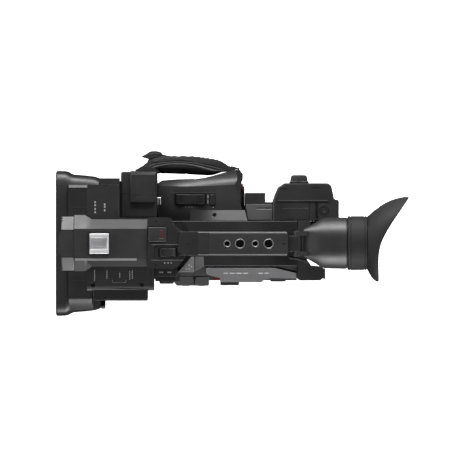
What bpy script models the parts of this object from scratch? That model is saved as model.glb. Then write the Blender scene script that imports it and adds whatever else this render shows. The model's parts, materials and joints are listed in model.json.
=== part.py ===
"""A handheld camcorder with a top handle, a side grip, a tilting viewfinder and a sliding monitor.

The lens looks along -X, the viewfinder points along +X, the grip is on the +Y side, +Z is up.
The origin is on the flat underside of the tripod base plate. Helper functions take millimetres.
"""
import math

import bmesh
import bpy
from mathutils import Matrix, Vector

MM = 0.001
GAP = 0.3

# Driving dimensions, in millimetres
LENS_Z = 74.0
HOOD_FRONT = -159.2
HOOD_REAR = -112.0
HOOD_HALF_WIDTH = 77.8
HOOD_HALF_HEIGHT = 52.0
BARREL_R = 36.0
RING_R = 51.0
CASE_FRONT = -62.0
CASE_REAR = 98.0
CASE_HALF = 24.0
CASE_TOP = 150.0
WALL = 2.4
BAY_FRONT = -124.0
BAY_REAR = -53.5
BAY_BOTTOM = 160.0
BAY_TOP = 186.0
SPINE_TOP = 208.0
SPINE_REAR = -60.3
HANDLE_HALF = 13.0
HANDLE_UNDER = 190.0
HANDLE_SPLIT = 199.0
HANDLE_TOP = 212.0
HEAD_TOP = 210.0
HANDLE_REAR = 88.0
GRIP_TOP = 140.0
SIDE_Y = -39.5
SIDE_SHOULDER = 106.0
SIDE_TOP = 146.0
EVF_Y = 0.5
EVF_Z = 182.0
EVF_R = 28.5
PIN_X = 97.0
PIN_Z = 203.0

CHARCOAL = (0.032, 0.033, 0.035, 1.0)
BLACK = (0.012, 0.012, 0.013, 1.0)
GREY = (0.16, 0.165, 0.17, 1.0)
SILVER = (0.55, 0.56, 0.57, 1.0)
RUBBER = (0.02, 0.02, 0.021, 1.0)
RED = (0.25, 0.01, 0.015, 1.0)
GREEN = (0.01, 0.09, 0.04, 1.0)
GLASS = (0.02, 0.03, 0.05, 1.0)

for old in list(bpy.data.objects):
    bpy.data.objects.remove(old, do_unlink=True)

PARTS = bpy.data.collections.new("camcorder")
CUTTERS = bpy.data.collections.new("cutters")
bpy.context.scene.collection.children.link(PARTS)
bpy.context.scene.collection.children.link(CUTTERS)


# ---------------------------------------------------------------- helpers

def place_mesh(name, mesh):
    """Put a mesh in the parts collection as an object of that name."""
    item = bpy.data.objects.new(name, mesh)
    PARTS.objects.link(item)
    return item


def mesh_from(name, shape):
    """Turn a bmesh in millimetres into an object in metres, with its faces pointing out."""
    bmesh.ops.recalc_face_normals(shape, faces=shape.faces)
    bmesh.ops.scale(shape, vec=(MM, MM, MM), verts=shape.verts)
    mesh = bpy.data.meshes.new(name)
    shape.to_mesh(mesh)
    shape.free()
    return place_mesh(name, mesh)


def soften(item, width, segments=2):
    """Round the sharp edges of an object."""
    bevel = item.modifiers.new("soften", "BEVEL")
    bevel.width = width * MM
    bevel.segments = segments
    bevel.limit_method = "ANGLE"
    bevel.angle_limit = math.radians(40)
    return item


def box(name, low, high, round_by=0.0):
    """A box between two corners."""
    shape = bmesh.new()
    bmesh.ops.create_cube(shape, size=1.0)
    size = [b - a for a, b in zip(low, high)]
    middle = [(a + b) / 2 for a, b in zip(low, high)]
    bmesh.ops.scale(shape, vec=size, verts=shape.verts)
    bmesh.ops.translate(shape, vec=middle, verts=shape.verts)
    item = mesh_from(name, shape)
    if round_by:
        soften(item, round_by)
    return item


def prism(name, outline, axis, low, high, round_by=0.0):
    """A flat outline extruded along X, Y or Z. Outlines are (y, z), (x, z) and (x, y)."""
    curve = bpy.data.curves.new(name + "_outline", "CURVE")
    curve.dimensions = "2D"
    curve.fill_mode = "BOTH"
    curve.extrude = (high - low) / 2 * MM
    spline = curve.splines.new("POLY")
    spline.points.add(len(outline) - 1)
    for point, (u, v) in zip(spline.points, outline):
        point.co = (u * MM, v * MM, 0.0, 1.0)
    spline.use_cyclic_u = True
    flat = bpy.data.objects.new(name + "_outline", curve)
    PARTS.objects.link(flat)
    seen = flat.evaluated_get(bpy.context.evaluated_depsgraph_get())
    mesh = bpy.data.meshes.new_from_object(seen)
    bpy.data.objects.remove(flat, do_unlink=True)
    columns = {"X": ((0, 1, 0), (0, 0, 1), (1, 0, 0)),
               "Y": ((1, 0, 0), (0, 0, 1), (0, -1, 0)),
               "Z": ((1, 0, 0), (0, 1, 0), (0, 0, 1))}[axis]
    turn = Matrix(columns).transposed().to_4x4()
    shift = Vector([1.0 if letter == axis else 0.0 for letter in "XYZ"]) * (low + high) / 2 * MM
    mesh.transform(Matrix.Translation(shift) @ turn)
    shape = bmesh.new()
    shape.from_mesh(mesh)
    bmesh.ops.remove_doubles(shape, verts=shape.verts, dist=0.00001)
    bmesh.ops.recalc_face_normals(shape, faces=shape.faces)
    shape.to_mesh(mesh)
    shape.free()
    mesh.materials.clear()
    mesh.name = name
    item = place_mesh(name, mesh)
    if round_by:
        soften(item, round_by)
    return item


def turned(name, profile, axis, centre, steps=32, closed=False):
    """A turned piece. Profile points are (radius, height along the axis from the centre)."""
    mesh = bpy.data.meshes.new(name)
    verts = [(radius * MM, 0.0, height * MM) for radius, height in profile]
    edges = [(i, i + 1) for i in range(len(profile) - 1)]
    if closed:
        edges.append((len(profile) - 1, 0))
    mesh.from_pydata(verts, edges, [])
    item = place_mesh(name, mesh)
    screw = item.modifiers.new("turn", "SCREW")
    screw.steps = steps
    screw.render_steps = steps
    screw.use_merge_vertices = True
    screw.merge_threshold = 0.00001
    item.rotation_euler = {"X": (0.0, math.pi / 2, 0.0),
                           "Y": (-math.pi / 2, 0.0, 0.0),
                           "Z": (0.0, 0.0, 0.0)}[axis]
    item.location = Vector(centre) * MM
    return item


def rod(name, radius, axis, centre, low, high, steps=24, edge=0.0):
    """A solid round bar along an axis, with an optional chamfer on both ends."""
    profile = [(0.0, high), (radius - edge, high)]
    if edge:
        profile.append((radius, high - edge))
        profile.append((radius, low + edge))
    else:
        profile.append((radius, low))
    profile.append((radius - edge, low))
    profile.append((0.0, low))
    if not edge:
        profile.pop(-2)
    return turned(name, profile, axis, centre, steps)


def loft(name, rings, closed=False):
    """A skin through rings of points. A closed loft returns to its first ring."""
    shape = bmesh.new()
    rows = [[shape.verts.new(point) for point in ring] for ring in rings]
    pairs = list(zip(rows, rows[1:]))
    if closed:
        pairs.append((rows[-1], rows[0]))
    else:
        shape.faces.new(rows[0])
        shape.faces.new(rows[-1])
    for first, second in pairs:
        for i in range(len(first)):
            j = (i + 1) % len(first)
            shape.faces.new((first[i], first[j], second[j], second[i]))
    return mesh_from(name, shape)


def oval(x, half_y, half_z, power, centre=(0.0, 0.0), count=32):
    """A ring of points across X: power 2 is an ellipse, and a high power is nearly a rectangle."""
    ring = []
    for i in range(count):
        angle = 2 * math.pi * (i + 0.5) / count
        c = math.cos(angle)
        s = math.sin(angle)
        y = centre[0] + half_y * math.copysign(abs(c) ** (2 / power), c)
        z = centre[1] + half_z * math.copysign(abs(s) ** (2 / power), s)
        ring.append((x, y, z))
    return ring


def smooth(points, steps=3):
    """Points on a smooth curve through a few guide points."""
    ends = [points[0]] + list(points) + [points[-1]]
    result = []
    for a, b, c, d in zip(ends, ends[1:], ends[2:], ends[3:]):
        for k in range(steps):
            t = k / steps
            blend = ((-t + 2 * t * t - t ** 3) / 2, (2 - 5 * t * t + 3 * t ** 3) / 2,
                     (t + 4 * t * t - 3 * t ** 3) / 2, (t ** 3 - t * t) / 2)
            result.append(tuple(sum(w * p[axis] for w, p in zip(blend, (a, b, c, d)))
                                for axis in range(2)))
    result.append(points[-1])
    return result


def link_outline(start, start_r, end, end_r, steps=6):
    """The outline of a straight lever with round ends."""
    heading = math.atan2(end[1] - start[1], end[0] - start[0])
    points = []
    for centre, radius, base in ((end, end_r, heading - math.pi / 2),
                                 (start, start_r, heading + math.pi / 2)):
        for i in range(steps + 1):
            angle = base + math.pi * i / steps
            points.append((centre[0] + radius * math.cos(angle), centre[1] + radius * math.sin(angle)))
    return points


def combine(target, other, operation):
    """Join a helper solid to a part, or cut it away, with a Boolean."""
    PARTS.objects.unlink(other)
    CUTTERS.objects.link(other)
    other.name = "cutter_" + other.name
    other.hide_render = True
    other.display_type = "WIRE"
    boolean = target.modifiers.new(operation.lower(), "BOOLEAN")
    boolean.operation = operation
    boolean.solver = "EXACT"
    boolean.object = other
    return target


def cut(target, *others):
    """Cut solids out of a part."""
    for other in others:
        combine(target, other, "DIFFERENCE")
    return target


def fuse(target, *others):
    """Join solids to a part."""
    for other in others:
        combine(target, other, "UNION")
    return target


def finish(item, colour, roughness=0.5, metallic=0.0):
    """Give a part its own material."""
    material = bpy.data.materials.new(item.name)
    material.use_nodes = True
    shader = material.node_tree.nodes["Principled BSDF"]
    shader.inputs["Base Color"].default_value = colour
    shader.inputs["Roughness"].default_value = roughness
    shader.inputs["Metallic"].default_value = metallic
    item.data.materials.clear()
    item.data.materials.append(material)
    return item


def pivot(name, centre, items):
    """Hang parts on an empty that stands on their joint's axis."""
    empty = bpy.data.objects.new(name, None)
    empty.location = Vector(centre) * MM
    PARTS.objects.link(empty)
    for item in items:
        item.parent = empty
        item.matrix_parent_inverse = Matrix.Translation(-empty.location)
    return empty


# ---------------------------------------------------------------- base and casings

def base_plate():
    plate = box("base_plate", (-45, -22, 0), (60, 22, 8), 1.0)
    cut(plate, rod("quarter_inch_hole", 3.3, "Z", (-14, 0, 0), -2, 10))
    cut(plate, rod("three_eighth_hole", 4.9, "Z", (16, 0, 0), -2, 10))
    finish(plate, GREY, 0.4, 0.9)


def casing(name, colour, low_y, high_y):
    """One half of the main casing: a shell open at the rear and along the split."""
    front_half = 38.0
    front_rear = -50.3
    front_top = 123.5
    half = box(name, (CASE_FRONT, -CASE_HALF, 8.3), (CASE_REAR, CASE_HALF, CASE_TOP))
    fuse(half, box(name + "_front", (CASE_FRONT, -front_half, 20), (front_rear, front_half, front_top)))
    cut(half, box(name + "_inside", (CASE_FRONT + WALL, -CASE_HALF + WALL, 8.3 + WALL),
                  (CASE_REAR + 5, CASE_HALF - WALL, CASE_TOP - WALL)))
    cut(half, box(name + "_front_inside", (CASE_FRONT + WALL, -front_half + WALL, 20 + WALL),
                  (front_rear - WALL, front_half - WALL, front_top - WALL)))
    cut(half, rod(name + "_lens_hole", 33.4, "X", (CASE_FRONT, 0, LENS_Z), -5, 5, 40))
    cut(half, box(name + "_away", (CASE_FRONT - 5, low_y, 0), (CASE_REAR + 5, high_y, CASE_TOP + 5)))
    return finish(half, colour, 0.55)


def rear_cover():
    """The rear wall, with the wing that holds the memory cards on the -Y side."""
    outline = [(98.3, 24), (98.3, -37.2), (100.3, -39.2), (122.5, -39.2), (126.2, -35.6), (126.2, -27),
               (124, -25), (113, -24), (108, -17), (111.7, -13), (111.7, 24)]
    cover = prism("rear_cover", outline, "Z", 16, CASE_TOP)
    cut(cover, box("rear_cover_inside", (97, -20, 22), (109, 20, 112)))
    cut(cover, box("latch_pocket", (109, -4.4, 117.6), (113, 12.4, 126.4)))
    cut(cover, box("card_slot", (114.5, -35.2, 64), (127.5, -29, 106)))
    finish(cover, CHARCOAL, 0.55)


def boards():
    """The sensor board behind the lens and the main board along the body."""
    sensor = box("sensor_board", (-34, -20, 50), (-32.4, 20, 98))
    fuse(sensor, box("image_sensor", (-37, -14, 63), (-33, 14, 85)))
    finish(sensor, GREEN, 0.5)
    main = box("main_board", (-20, 2, 20), (90, 3.6, 140))
    for x, z, size in ((0, 60, 10), (35, 90, 14), (65, 50, 8)):
        fuse(main, box("chip", (x - size, 0, z - size), (x + size, 3, z + size)))
    finish(main, GREEN, 0.5)


# ---------------------------------------------------------------- lens

def lens_barrel():
    profile = [(33, -55), (33, -62.3), (46, -62.3), (46, -65.6), (BARREL_R, -65.6), (BARREL_R, -105),
               (44, -105), (44, -115.5), (43, -116.5), (38, -116.5), (38, -112), (33, -104),
               (30, -100), (30, -55)]
    barrel = turned("lens_barrel", profile, "X", (0, 0, LENS_Z), 40, closed=True)
    finish(barrel, BLACK, 0.4, 0.6)


def lens_profile(radius, rear, front, rear_bulge, front_bulge, steps=4):
    """The half section of a glass element with two domed faces."""
    rear_side = [(radius * i / steps, rear + rear_bulge * (1 - (i / steps) ** 2)) for i in range(steps + 1)]
    front_side = [(radius * i / steps, front - front_bulge * (1 - (i / steps) ** 2))
                  for i in range(steps, -1, -1)]
    return rear_side + front_side


def front_lens():
    glass = turned("front_lens", lens_profile(37.5, -112.6, -115.0, 3.5, 2.4), "X", (0, 0, LENS_Z), 32)
    finish(glass, GLASS, 0.03)


def control_ring(name, front, rear, radius):
    """A ring that turns on the lens barrel, with a groove at each end."""
    inner = BARREL_R + 0.4
    profile = [(radius - 1.2, rear), (radius, rear - 1.2), (radius, front + 1.2), (radius - 1.2, front),
               (inner, front), (inner, rear)]
    ring = turned(name, profile, "X", (0, 0, LENS_Z), 40, closed=True)
    finish(ring, RUBBER, 0.75)


def nd_filter():
    """The filter wheel inside the body and the dial that turns it."""
    wheel = rod("nd_wheel", 20.8, "X", (-44.5, 0, 58), -1.5, 1.5, 28)
    for i in range(3):
        angle = math.pi / 2 + 2 * math.pi * i / 3
        centre = (-44.5, 11.5 * math.cos(angle), 58 + 11.5 * math.sin(angle))
        cut(wheel, rod("filter_hole", 7.5, "X", centre, -3, 3, 16))
    finish(wheel, BLACK, 0.5)
    dial = rod("nd_dial", 8, "Y", (-42, SIDE_Y, 50), -4.2, -GAP, 24, 0.8)
    finish(dial, BLACK, 0.5)


def lens_hood():
    """A deep rectangular shade with a round hole at the back for the barrel."""
    wall = 2.8
    axis = (0.0, LENS_Z)
    waist_x = -140.6
    rings = [oval(HOOD_FRONT + 1.5, HOOD_HALF_WIDTH, HOOD_HALF_HEIGHT, 9, axis),
             oval(-146.5, HOOD_HALF_WIDTH - 0.5, HOOD_HALF_HEIGHT, 9, axis),
             oval(waist_x, 74.2, 50.5, 9, axis),
             oval(HOOD_REAR - 1, 71.0, 48.5, 9, axis),
             oval(HOOD_REAR, 70.0, 47.5, 9, axis),
             oval(HOOD_REAR, 44.5, 44.5, 2, axis),
             oval(HOOD_REAR - 2, 44.5, 44.5, 2, axis),
             oval(HOOD_REAR - 2, 70.5 - wall, 48.0 - wall, 9, axis),
             oval(waist_x, 74.2 - wall, 50.5 - wall, 9, axis),
             oval(HOOD_FRONT, HOOD_HALF_WIDTH - wall, HOOD_HALF_HEIGHT - wall, 9, axis),
             oval(HOOD_FRONT, HOOD_HALF_WIDTH - 1.0, HOOD_HALF_HEIGHT - 1.0, 9, axis)]
    finish(loft("lens_hood", rings, closed=True), BLACK, 0.6)


def hood_shutter():
    """Two blades that fold flat above and below the view, and the lever that moves them."""
    hinge_x = -119.5
    reach = 37.8
    for name, side in (("shutter_top", 1), ("shutter_bottom", -1)):
        hinge_z = LENS_Z + side * reach
        blade = box(name, (hinge_x - reach + 0.6, -60, hinge_z - 1), (hinge_x - 0.2, 60, hinge_z + 1))
        fuse(blade, rod("blade_pin", 1.5, "Y", (hinge_x, 0, hinge_z), -62.8, 62.8, 12))
        finish(blade, BLACK, 0.5)
        pivot(name + "_axis", (hinge_x, 0, hinge_z), [blade])
    tip = (-52 - 17 * math.cos(math.radians(30)), LENS_Z + 17 * math.sin(math.radians(30)))
    lever = prism("shutter_lever", link_outline((-52, LENS_Z), 4.5, tip, 3.4), "X", -111.6, -107.2)
    finish(lever, BLACK, 0.5)
    pivot("shutter_lever_axis", (-109.4, -52, LENS_Z), [lever])


# ---------------------------------------------------------------- top front

def spine_section(half_left, half_right, shoulder):
    """The cross-section of the spine: a flat top with a chamfer on each side."""
    return [(-half_left, BAY_TOP + GAP), (-half_left, shoulder), (-16, SPINE_TOP), (16.5, SPINE_TOP),
            (half_right, shoulder), (half_right, BAY_TOP + GAP)]


def spine_cover():
    """The front of the handle: it holds the shoe and, at its nose, the microphone."""
    spine = prism("spine_cover", spine_section(24.3, 25.5, 197), "X", BAY_FRONT, SPINE_REAR)
    fuse(spine, prism("spine_front", spine_section(29, 30, 196), "X", -137, BAY_FRONT + 0.5))
    nose = [(-153, -10), (-150, -13.7), (-136, -13.7), (-136, 13.7), (-150, 13.7), (-153, 10)]
    fuse(spine, prism("nose", nose, "Z", 188, 206.5))
    finish(spine, CHARCOAL, 0.5)
    grille = box("mic_grille", (-143, -20, 184.4), (-137.3, 20, 187.6))
    for side in (1, -1):
        outline = [(14.2 * side, 187), (14.2 * side, 205.5), (28.5 * side, 196.5), (28.5 * side, 187)]
        fuse(grille, prism("grille_half", outline, "X", -150.5, -137.3, 0.8))
    finish(grille, GREY, 0.4, 0.3)


def accessory_shoe():
    floor = 209.8
    lip = 211.9
    top = 214.5
    shoe = box("accessory_shoe", (-120.5, -10.4, SPINE_TOP + GAP), (-100.5, 10.4, top), 0.3)
    cut(shoe, box("shoe_slot", (-122, -9.3, floor), (-102, 9.3, lip)))
    cut(shoe, box("shoe_mouth", (-122, -6.25, lip - 1), (-102, 6.25, top + 1)))
    finish(shoe, SILVER, 0.3, 1.0)


def lcd_bay():
    """The housing under the spine that the monitor slides into."""
    outline = [(BAY_FRONT, -49.5), (BAY_REAR, -49.5), (BAY_REAR, 27), (-90, 27), (-90, 62), (BAY_FRONT, 62)]
    bay = prism("lcd_bay", outline, "Z", BAY_BOTTOM, BAY_TOP)
    fuse(bay, box("bay_step", (-112, 61, BAY_BOTTOM), (-90, 69, 176)))
    cut(bay, box("bay_inside", (-119.2, -52, 166.5), (-58.8, 23, 182)))
    slope = [(-44, BAY_TOP + 1), (-50.5, BAY_TOP + 1), (-50.5, 180), (-44, BAY_TOP)]
    cut(bay, prism("bay_slope", slope, "X", BAY_FRONT - 1, BAY_REAR + 1))
    finish(bay, CHARCOAL, 0.5)


def monitor():
    """The monitor, stowed with its screen facing down."""
    case = box("lcd_housing", (-118, -60.3, 168.2), (-60, 22, 180.8), 1.6)
    finish(case, BLACK, 0.45)
    pivot("lcd_start", (-89, -60.3, 175), [case])


def xlr_block():
    """The audio input block on the +Y side, with a locking socket that faces the rear."""
    socket_y = 45.0
    socket_z = 152.0
    rear = -50.6
    block = box("xlr_block", (-88.7, 27.3, 124), (rear, 76, 172), 2.0)
    fuse(block, box("xlr_lid", (-79, 43, 170), (-52, 74, 176), 1.5))
    cut(block, rod("xlr_bore", 10.5, "X", (rear, socket_y, socket_z), -18, 2, 28))
    finish(block, CHARCOAL, 0.5)
    profile = [(0, -6), (8.2, -6), (8.2, -0.3), (10.2, -0.3), (10.2, -17), (0, -17)]
    finish(turned("xlr_socket", profile, "X", (rear, socket_y, socket_z), 28), BLACK, 0.4)
    release = box("xlr_release", (rear + GAP, 41, 163), (-46.5, 49, 167), 0.6)
    finish(release, SILVER, 0.4, 0.8)
    pivot("xlr_release_start", (-48.5, socket_y, 165), [release])


# ---------------------------------------------------------------- handle

def rocker(name, centre, half_length, half_width, height, colour):
    """A zoom rocker: a bar that rocks on a pin across its middle."""
    x, y, z = centre
    outline = [(x - half_length, z + height * 0.55), (x - half_length + 1.5, z + height),
               (x - 3, z + height * 0.7), (x + 3, z + height * 0.7),
               (x + half_length - 1.5, z + height), (x + half_length, z + height * 0.55),
               (x + half_length, z + 1.6), (x + 2, z - 1), (x - 2, z - 1), (x - half_length, z + 1.6)]
    bar = prism(name, outline, "Y", y - half_width, y + half_width, 0.4)
    finish(bar, colour, 0.45)
    pivot(name + "_axis", centre, [bar])


def handle():
    head_outline = [(-60, -26), (-32, -26.5), (-27, -22), (-20, -13.5), (-20, 13.5), (-25, 13.5),
                    (-30, 17), (-36, 27.5), (-60, 27.5)]
    head = prism("handle_head", head_outline, "Z", BAY_TOP + GAP, HEAD_TOP, 1.5)
    cut(head, box("rec_pocket", (-59.5, 1.5, HEAD_TOP - 3), (-39.5, 17.5, HEAD_TOP + 2)))
    cut(head, box("zoom_pocket", (-48.7, -14.2, HEAD_TOP - 5), (-28.3, -4.3, HEAD_TOP + 2)))
    finish(head, CHARCOAL, 0.5)
    button = box("handle_rec_button", (-59, 2, HEAD_TOP - 1.5), (-40, 17, HEAD_TOP + 1), 0.6)
    finish(button, CHARCOAL, 0.45)
    pivot("handle_rec_start", (-49.5, 9.5, HEAD_TOP), [button])
    rocker("handle_zoom_rocker", (-38.5, -9.25, HEAD_TOP - 3.6), 9, 4.2, 5.2, BLACK)

    cover = box("handle_cover", (-19.7, -HANDLE_HALF, HANDLE_SPLIT + GAP),
                (HANDLE_REAR, HANDLE_HALF, HANDLE_TOP), 3.0)
    cut(cover, box("plate_pocket", (17.4, -8.6, HANDLE_SPLIT - 1), (74.6, 8.6, HANDLE_SPLIT + 3.6)))
    plate = box("thread_plate", (18, -8, HANDLE_SPLIT + GAP), (74, 8, HANDLE_SPLIT + 3.2))
    sockets = ((23.5, 3.0), (37, 4.6), (53, 3.0), (67, 4.6))
    for x, bore in sockets:
        cut(cover, rod("socket_hole", bore + 1.2, "Z", (x, 0, HANDLE_TOP), -12, 3, 20))
        cut(plate, rod("socket_bore", bore + 0.4, "Z", (x, 0, HANDLE_TOP), -15, 3, 20))
    for x, bore in sockets:
        wall = [(bore + 0.9, 0.2), (bore + 0.9, -11.5), (bore, -11.5), (bore, 0.2)]
        fuse(plate, turned("socket", wall, "Z", (x, 0, HANDLE_TOP), 20, closed=True))
    finish(cover, CHARCOAL, 0.5)
    finish(plate, SILVER, 0.3, 1.0)

    outline = [(-61.5, CASE_TOP + GAP), (-61.5, BAY_BOTTOM - GAP), (BAY_REAR + GAP, BAY_BOTTOM - GAP),
               (BAY_REAR + GAP, BAY_TOP - GAP), (-19.7, BAY_TOP - GAP), (-19.7, HANDLE_SPLIT),
               (HANDLE_REAR, HANDLE_SPLIT), (97, CASE_TOP + GAP), (72, CASE_TOP + GAP),
               (61, HANDLE_UNDER - 4), (56, HANDLE_UNDER), (-14, HANDLE_UNDER),
               (-20, HANDLE_UNDER - 4), (-16, CASE_TOP + GAP)]
    frame = prism("handle_frame", outline, "Y", -12, 12, 2.0)
    fuse(frame, box("frame_front", (-61.5, -20, CASE_TOP + GAP), (-24, 20, BAY_BOTTOM - GAP)))
    finish(frame, CHARCOAL, 0.5)


# ---------------------------------------------------------------- viewfinder

def evf_hinge():
    block_outline = [(HANDLE_REAR + GAP, HANDLE_SPLIT + 0.5)]
    for i in range(7):
        angle = -math.pi / 2 + math.pi * i / 6
        block_outline.append((PIN_X + 5 * math.cos(angle), PIN_Z + 5 * math.sin(angle)))
    block_outline.append((HANDLE_REAR + GAP, 208))
    block = prism("evf_hinge_block", block_outline, "Y", -8, 8)
    cut(block, rod("block_pin_hole", 2.1, "Y", (PIN_X, 0, PIN_Z), -10, 10, 16))
    finish(block, BLACK, 0.5)
    finish(rod("evf_hinge_pin", 1.8, "Y", (PIN_X, 0, PIN_Z), -12.8, 12.8, 16), SILVER, 0.3, 1.0)


def viewfinder():
    axis = (EVF_Y, EVF_Z)
    sections = ((104, 14, 20), (117, 19.5, 24), (121, 24, 25.4), (125, 26.6, 26), (146, 27.2, 26), (150, 26.6, 25))
    rings = [oval(x, half_y, half_z, 3.2, axis) for x, half_y, half_z in sections]
    housing = loft("evf_housing", rings)
    for side in (1, -1):
        arm = link_outline((PIN_X, PIN_Z), 5, (108, 200), 6)
        low, high = sorted((8.3 * side, 13 * side))
        fuse(housing, prism("hinge_arm", arm, "Y", low, high))
    cut(housing, rod("arm_pin_hole", 2.1, "Y", (PIN_X, 0, PIN_Z), -20, 20, 16))
    finish(housing, CHARCOAL, 0.5)

    profile = [(EVF_R - 1, 171), (EVF_R, 170), (EVF_R, 151.3), (EVF_R - 1, 150.3), (21, 150.3), (21, 171)]
    ring = turned("evf_ring", profile, "X", (0, EVF_Y, EVF_Z), 32, closed=True)
    finish(ring, CHARCOAL, 0.6)
    glass = turned("eyepiece_lens", lens_profile(20.7, 163, 158, 2, 2), "X", (0, EVF_Y, EVF_Z), 24)
    finish(glass, GLASS, 0.03)
    dial = rod("diopter_dial", 6, "Z", (138, EVF_Y, 155.5), -4, 0, 20, 0.6)
    finish(dial, BLACK, 0.5)
    cup = eyecup()
    evf = pivot("evf_axis", (PIN_X, 0, PIN_Z), [housing, ring, glass])
    for item, centre in ((dial, (138, EVF_Y, 154)), (cup, (171, EVF_Y, EVF_Z))):
        child = pivot(item.name + "_axis", centre, [item])
        child.parent = evf
        child.matrix_parent_inverse = Matrix.Translation(-evf.location)


def eyecup():
    """A flared rubber cup, longer on the temple side, which is +Y."""
    base_x = 171.3
    count = 32
    wall = 2.0
    outer_rows = [[] for _ in range(5)]
    inner_rows = [[] for _ in range(5)]
    for i in range(count):
        angle = 2 * math.pi * (i + 0.5) / count
        c = math.cos(angle)
        rim_x = 185.2 + 11.6 * c + 14.0 * c * c + 4.4 * c ** 3
        rim_r = 33.4 + 4 * c + 11.6 * c * c
        for row in range(5):
            t = row / 4
            x = base_x + (rim_x - base_x) * t
            r = EVF_R + (rim_r - EVF_R) * (1 - (1 - t) ** 2)
            outer_rows[row].append((x, EVF_Y + r * c, EVF_Z + r * math.sin(angle)))
            r = r - wall - 1.5 * (1 - t)
            inner_rows[row].append((x, EVF_Y + r * c, EVF_Z + r * math.sin(angle)))
    return finish(loft("eyecup", outer_rows + inner_rows[::-1], closed=True), RUBBER, 0.8)


# ---------------------------------------------------------------- grip side

def grip():
    outline = [(-50, 24.3), (46, 24.3), (38, 40), (38, 66), (40.2, 68), (40.2, 74), (37, 78), (29, 78), (22, 76),
               (10, 72.5), (0, 70), (-10, 68.5), (-30, 68), (-46, 67), (-50, 64)]
    shell = prism("grip_shell", outline, "Z", 22, GRIP_TOP, 2.0)
    cut(shell, box("grip_inside", (-46, 20, 27), (33, 62, 132)))
    cut(shell, box("rocker_pocket", (-33, 40, GRIP_TOP - 4.4), (11, 54, GRIP_TOP + 2)))
    cut(shell, rod("grip_rec_pocket", 5, "X", (38, 59, 116), -2.6, 3, 20))
    finish(shell, CHARCOAL, 0.55)
    rocker("grip_zoom_rocker", (-15.5, 47, GRIP_TOP - 2.8), 16, 5, 6, BLACK)
    button = box("grip_button", (5.5, 41, GRIP_TOP - 2), (10.5, 52, GRIP_TOP + 1.2), 0.5)
    finish(button, BLACK, 0.5)
    pivot("grip_button_start", (8, 46.5, GRIP_TOP), [button])
    record = rod("grip_rec_button", 4.6, "X", (38, 59, 116), -1.1, 2.6, 20, 0.5)
    finish(record, RED, 0.4)


def strap_line(shift):
    """The line between the strap's pad and its belt, moved sideways by the shift."""
    guide = [(-67, 79.9), (-52.2, 85.3), (-37.6, 87), (-27.8, 87.2), (-13.2, 86.3), (1.5, 83.3), (11, 80.9),
             (20, 78.4)]
    return [(x, y + shift) for x, y in smooth(guide)]


def hand_strap():
    """The padded strap over the back of the hand, its belt and its metal anchors."""
    inner = smooth([(20, 77.0), (17, 75.5), (11, 74.1), (1.5, 73.9), (-13.2, 74.8), (-27.8, 75.5), (-42.5, 76),
                    (-55, 75.8), (-67, 77.6)])
    pad = prism("strap_pad", strap_line(-0.4) + inner, "Z", 52, 104)
    finish(pad, RUBBER, 0.85)
    outer = smooth([(27, 82.9), (21, 84.6), (14, 89.4), (1.5, 91.6), (-13.2, 93.4), (-37.6, 93.8), (-44.5, 95.5),
                    (-48.3, 98.6), (-54, 99.4), (-59, 98.9), (-63, 96.6), (-68.6, 93.1)])
    flap = [(-65.9, 91.6), (-60.5, 90.0), (-62.4, 86.8), (-66, 83.8), (-69.8, 81.6), (-73.5, 79.6)]
    belt = prism("strap_belt", [(-73.5, 76.4)] + strap_line(0.4) + [(27, 79.6)] + outer + flap, "Z", 60, 96)
    finish(belt, BLACK, 0.85)
    front = box("strap_anchor_front", (-80, 58, 54), (-73.8, 78, 123.7), 0.8)
    cut(front, box("front_loop", (-82, 66, 60), (-72, 74, 96)))
    finish(front, SILVER, 0.35, 0.9)
    lug = [(27.3, 78.3), (27.3, 82.9), (31, 82.3), (34.5, 80.9), (37.6, 78.3)]
    rear = prism("strap_anchor_rear", lug, "Z", 62, 94, 0.6)
    cut(rear, box("rear_loop", (29.5, 77, 66), (35, 85, 90)))
    finish(rear, SILVER, 0.35, 0.9)


def right_side():
    """The block behind the grip and the rear housing with its fan and knob."""
    outline = [(46.6, 24.3), (71.7, 24.3), (71.7, 44), (64, 44), (64, 54), (42.3, 54), (42.3, 34)]
    bridge = prism("bridge_block", outline, "Z", 24, 134, 1.0)
    fuse(bridge, box("terminal_lid", (50, 26, 133), (70, 41.5, 137), 0.8))
    finish(bridge, CHARCOAL, 0.5)

    outline = [(72, 24.3), (142, 24.3), (142, 46), (137, 47), (134, 61), (131, 64), (84, 64), (78, 60),
               (75, 53), (72, 44)]
    housing = prism("rear_right_housing", outline, "Z", 24, CASE_TOP, 1.5)
    cut(housing, box("rear_right_inside", (80, 20, 29), (132, 60, 144)))
    finish(housing, CHARCOAL, 0.5)

    fan = rod("fan_rotor", 6, "Y", (108, 50, 84), -4, 4, 16)
    for i in range(7):
        blade = box("fan_blade", (5, -3.5, -0.7), (16, 3.5, 0.7))
        angle = 2 * math.pi * i / 7
        lean = Matrix.Rotation(angle, 4, "Y") @ Matrix.Rotation(math.radians(35), 4, "X")
        blade.matrix_world = Matrix.Translation(Vector((108, 50, 84)) * MM) @ lean
        fuse(fan, blade)
    finish(fan, BLACK, 0.5)

    profile = [(0, 9.0), (7, 9.0), (8.2, 8.0), (9.3, 2.6), (10.5, 1.8), (10.5, GAP), (0, GAP)]
    finish(turned("rear_knob", profile, "Y", (100, 64, 118), 28), BLACK, 0.5)


# ---------------------------------------------------------------- control side

def side_slope(distance, height):
    """A point on the sloping shoulder of the side housing, lifted off it by a distance."""
    run = -CASE_HALF - GAP - SIDE_Y
    rise = SIDE_TOP - SIDE_SHOULDER
    length = math.hypot(run, rise)
    y = SIDE_Y + run * (height - SIDE_SHOULDER) / rise
    return (y - distance * rise / length, height + distance * run / length)


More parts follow.
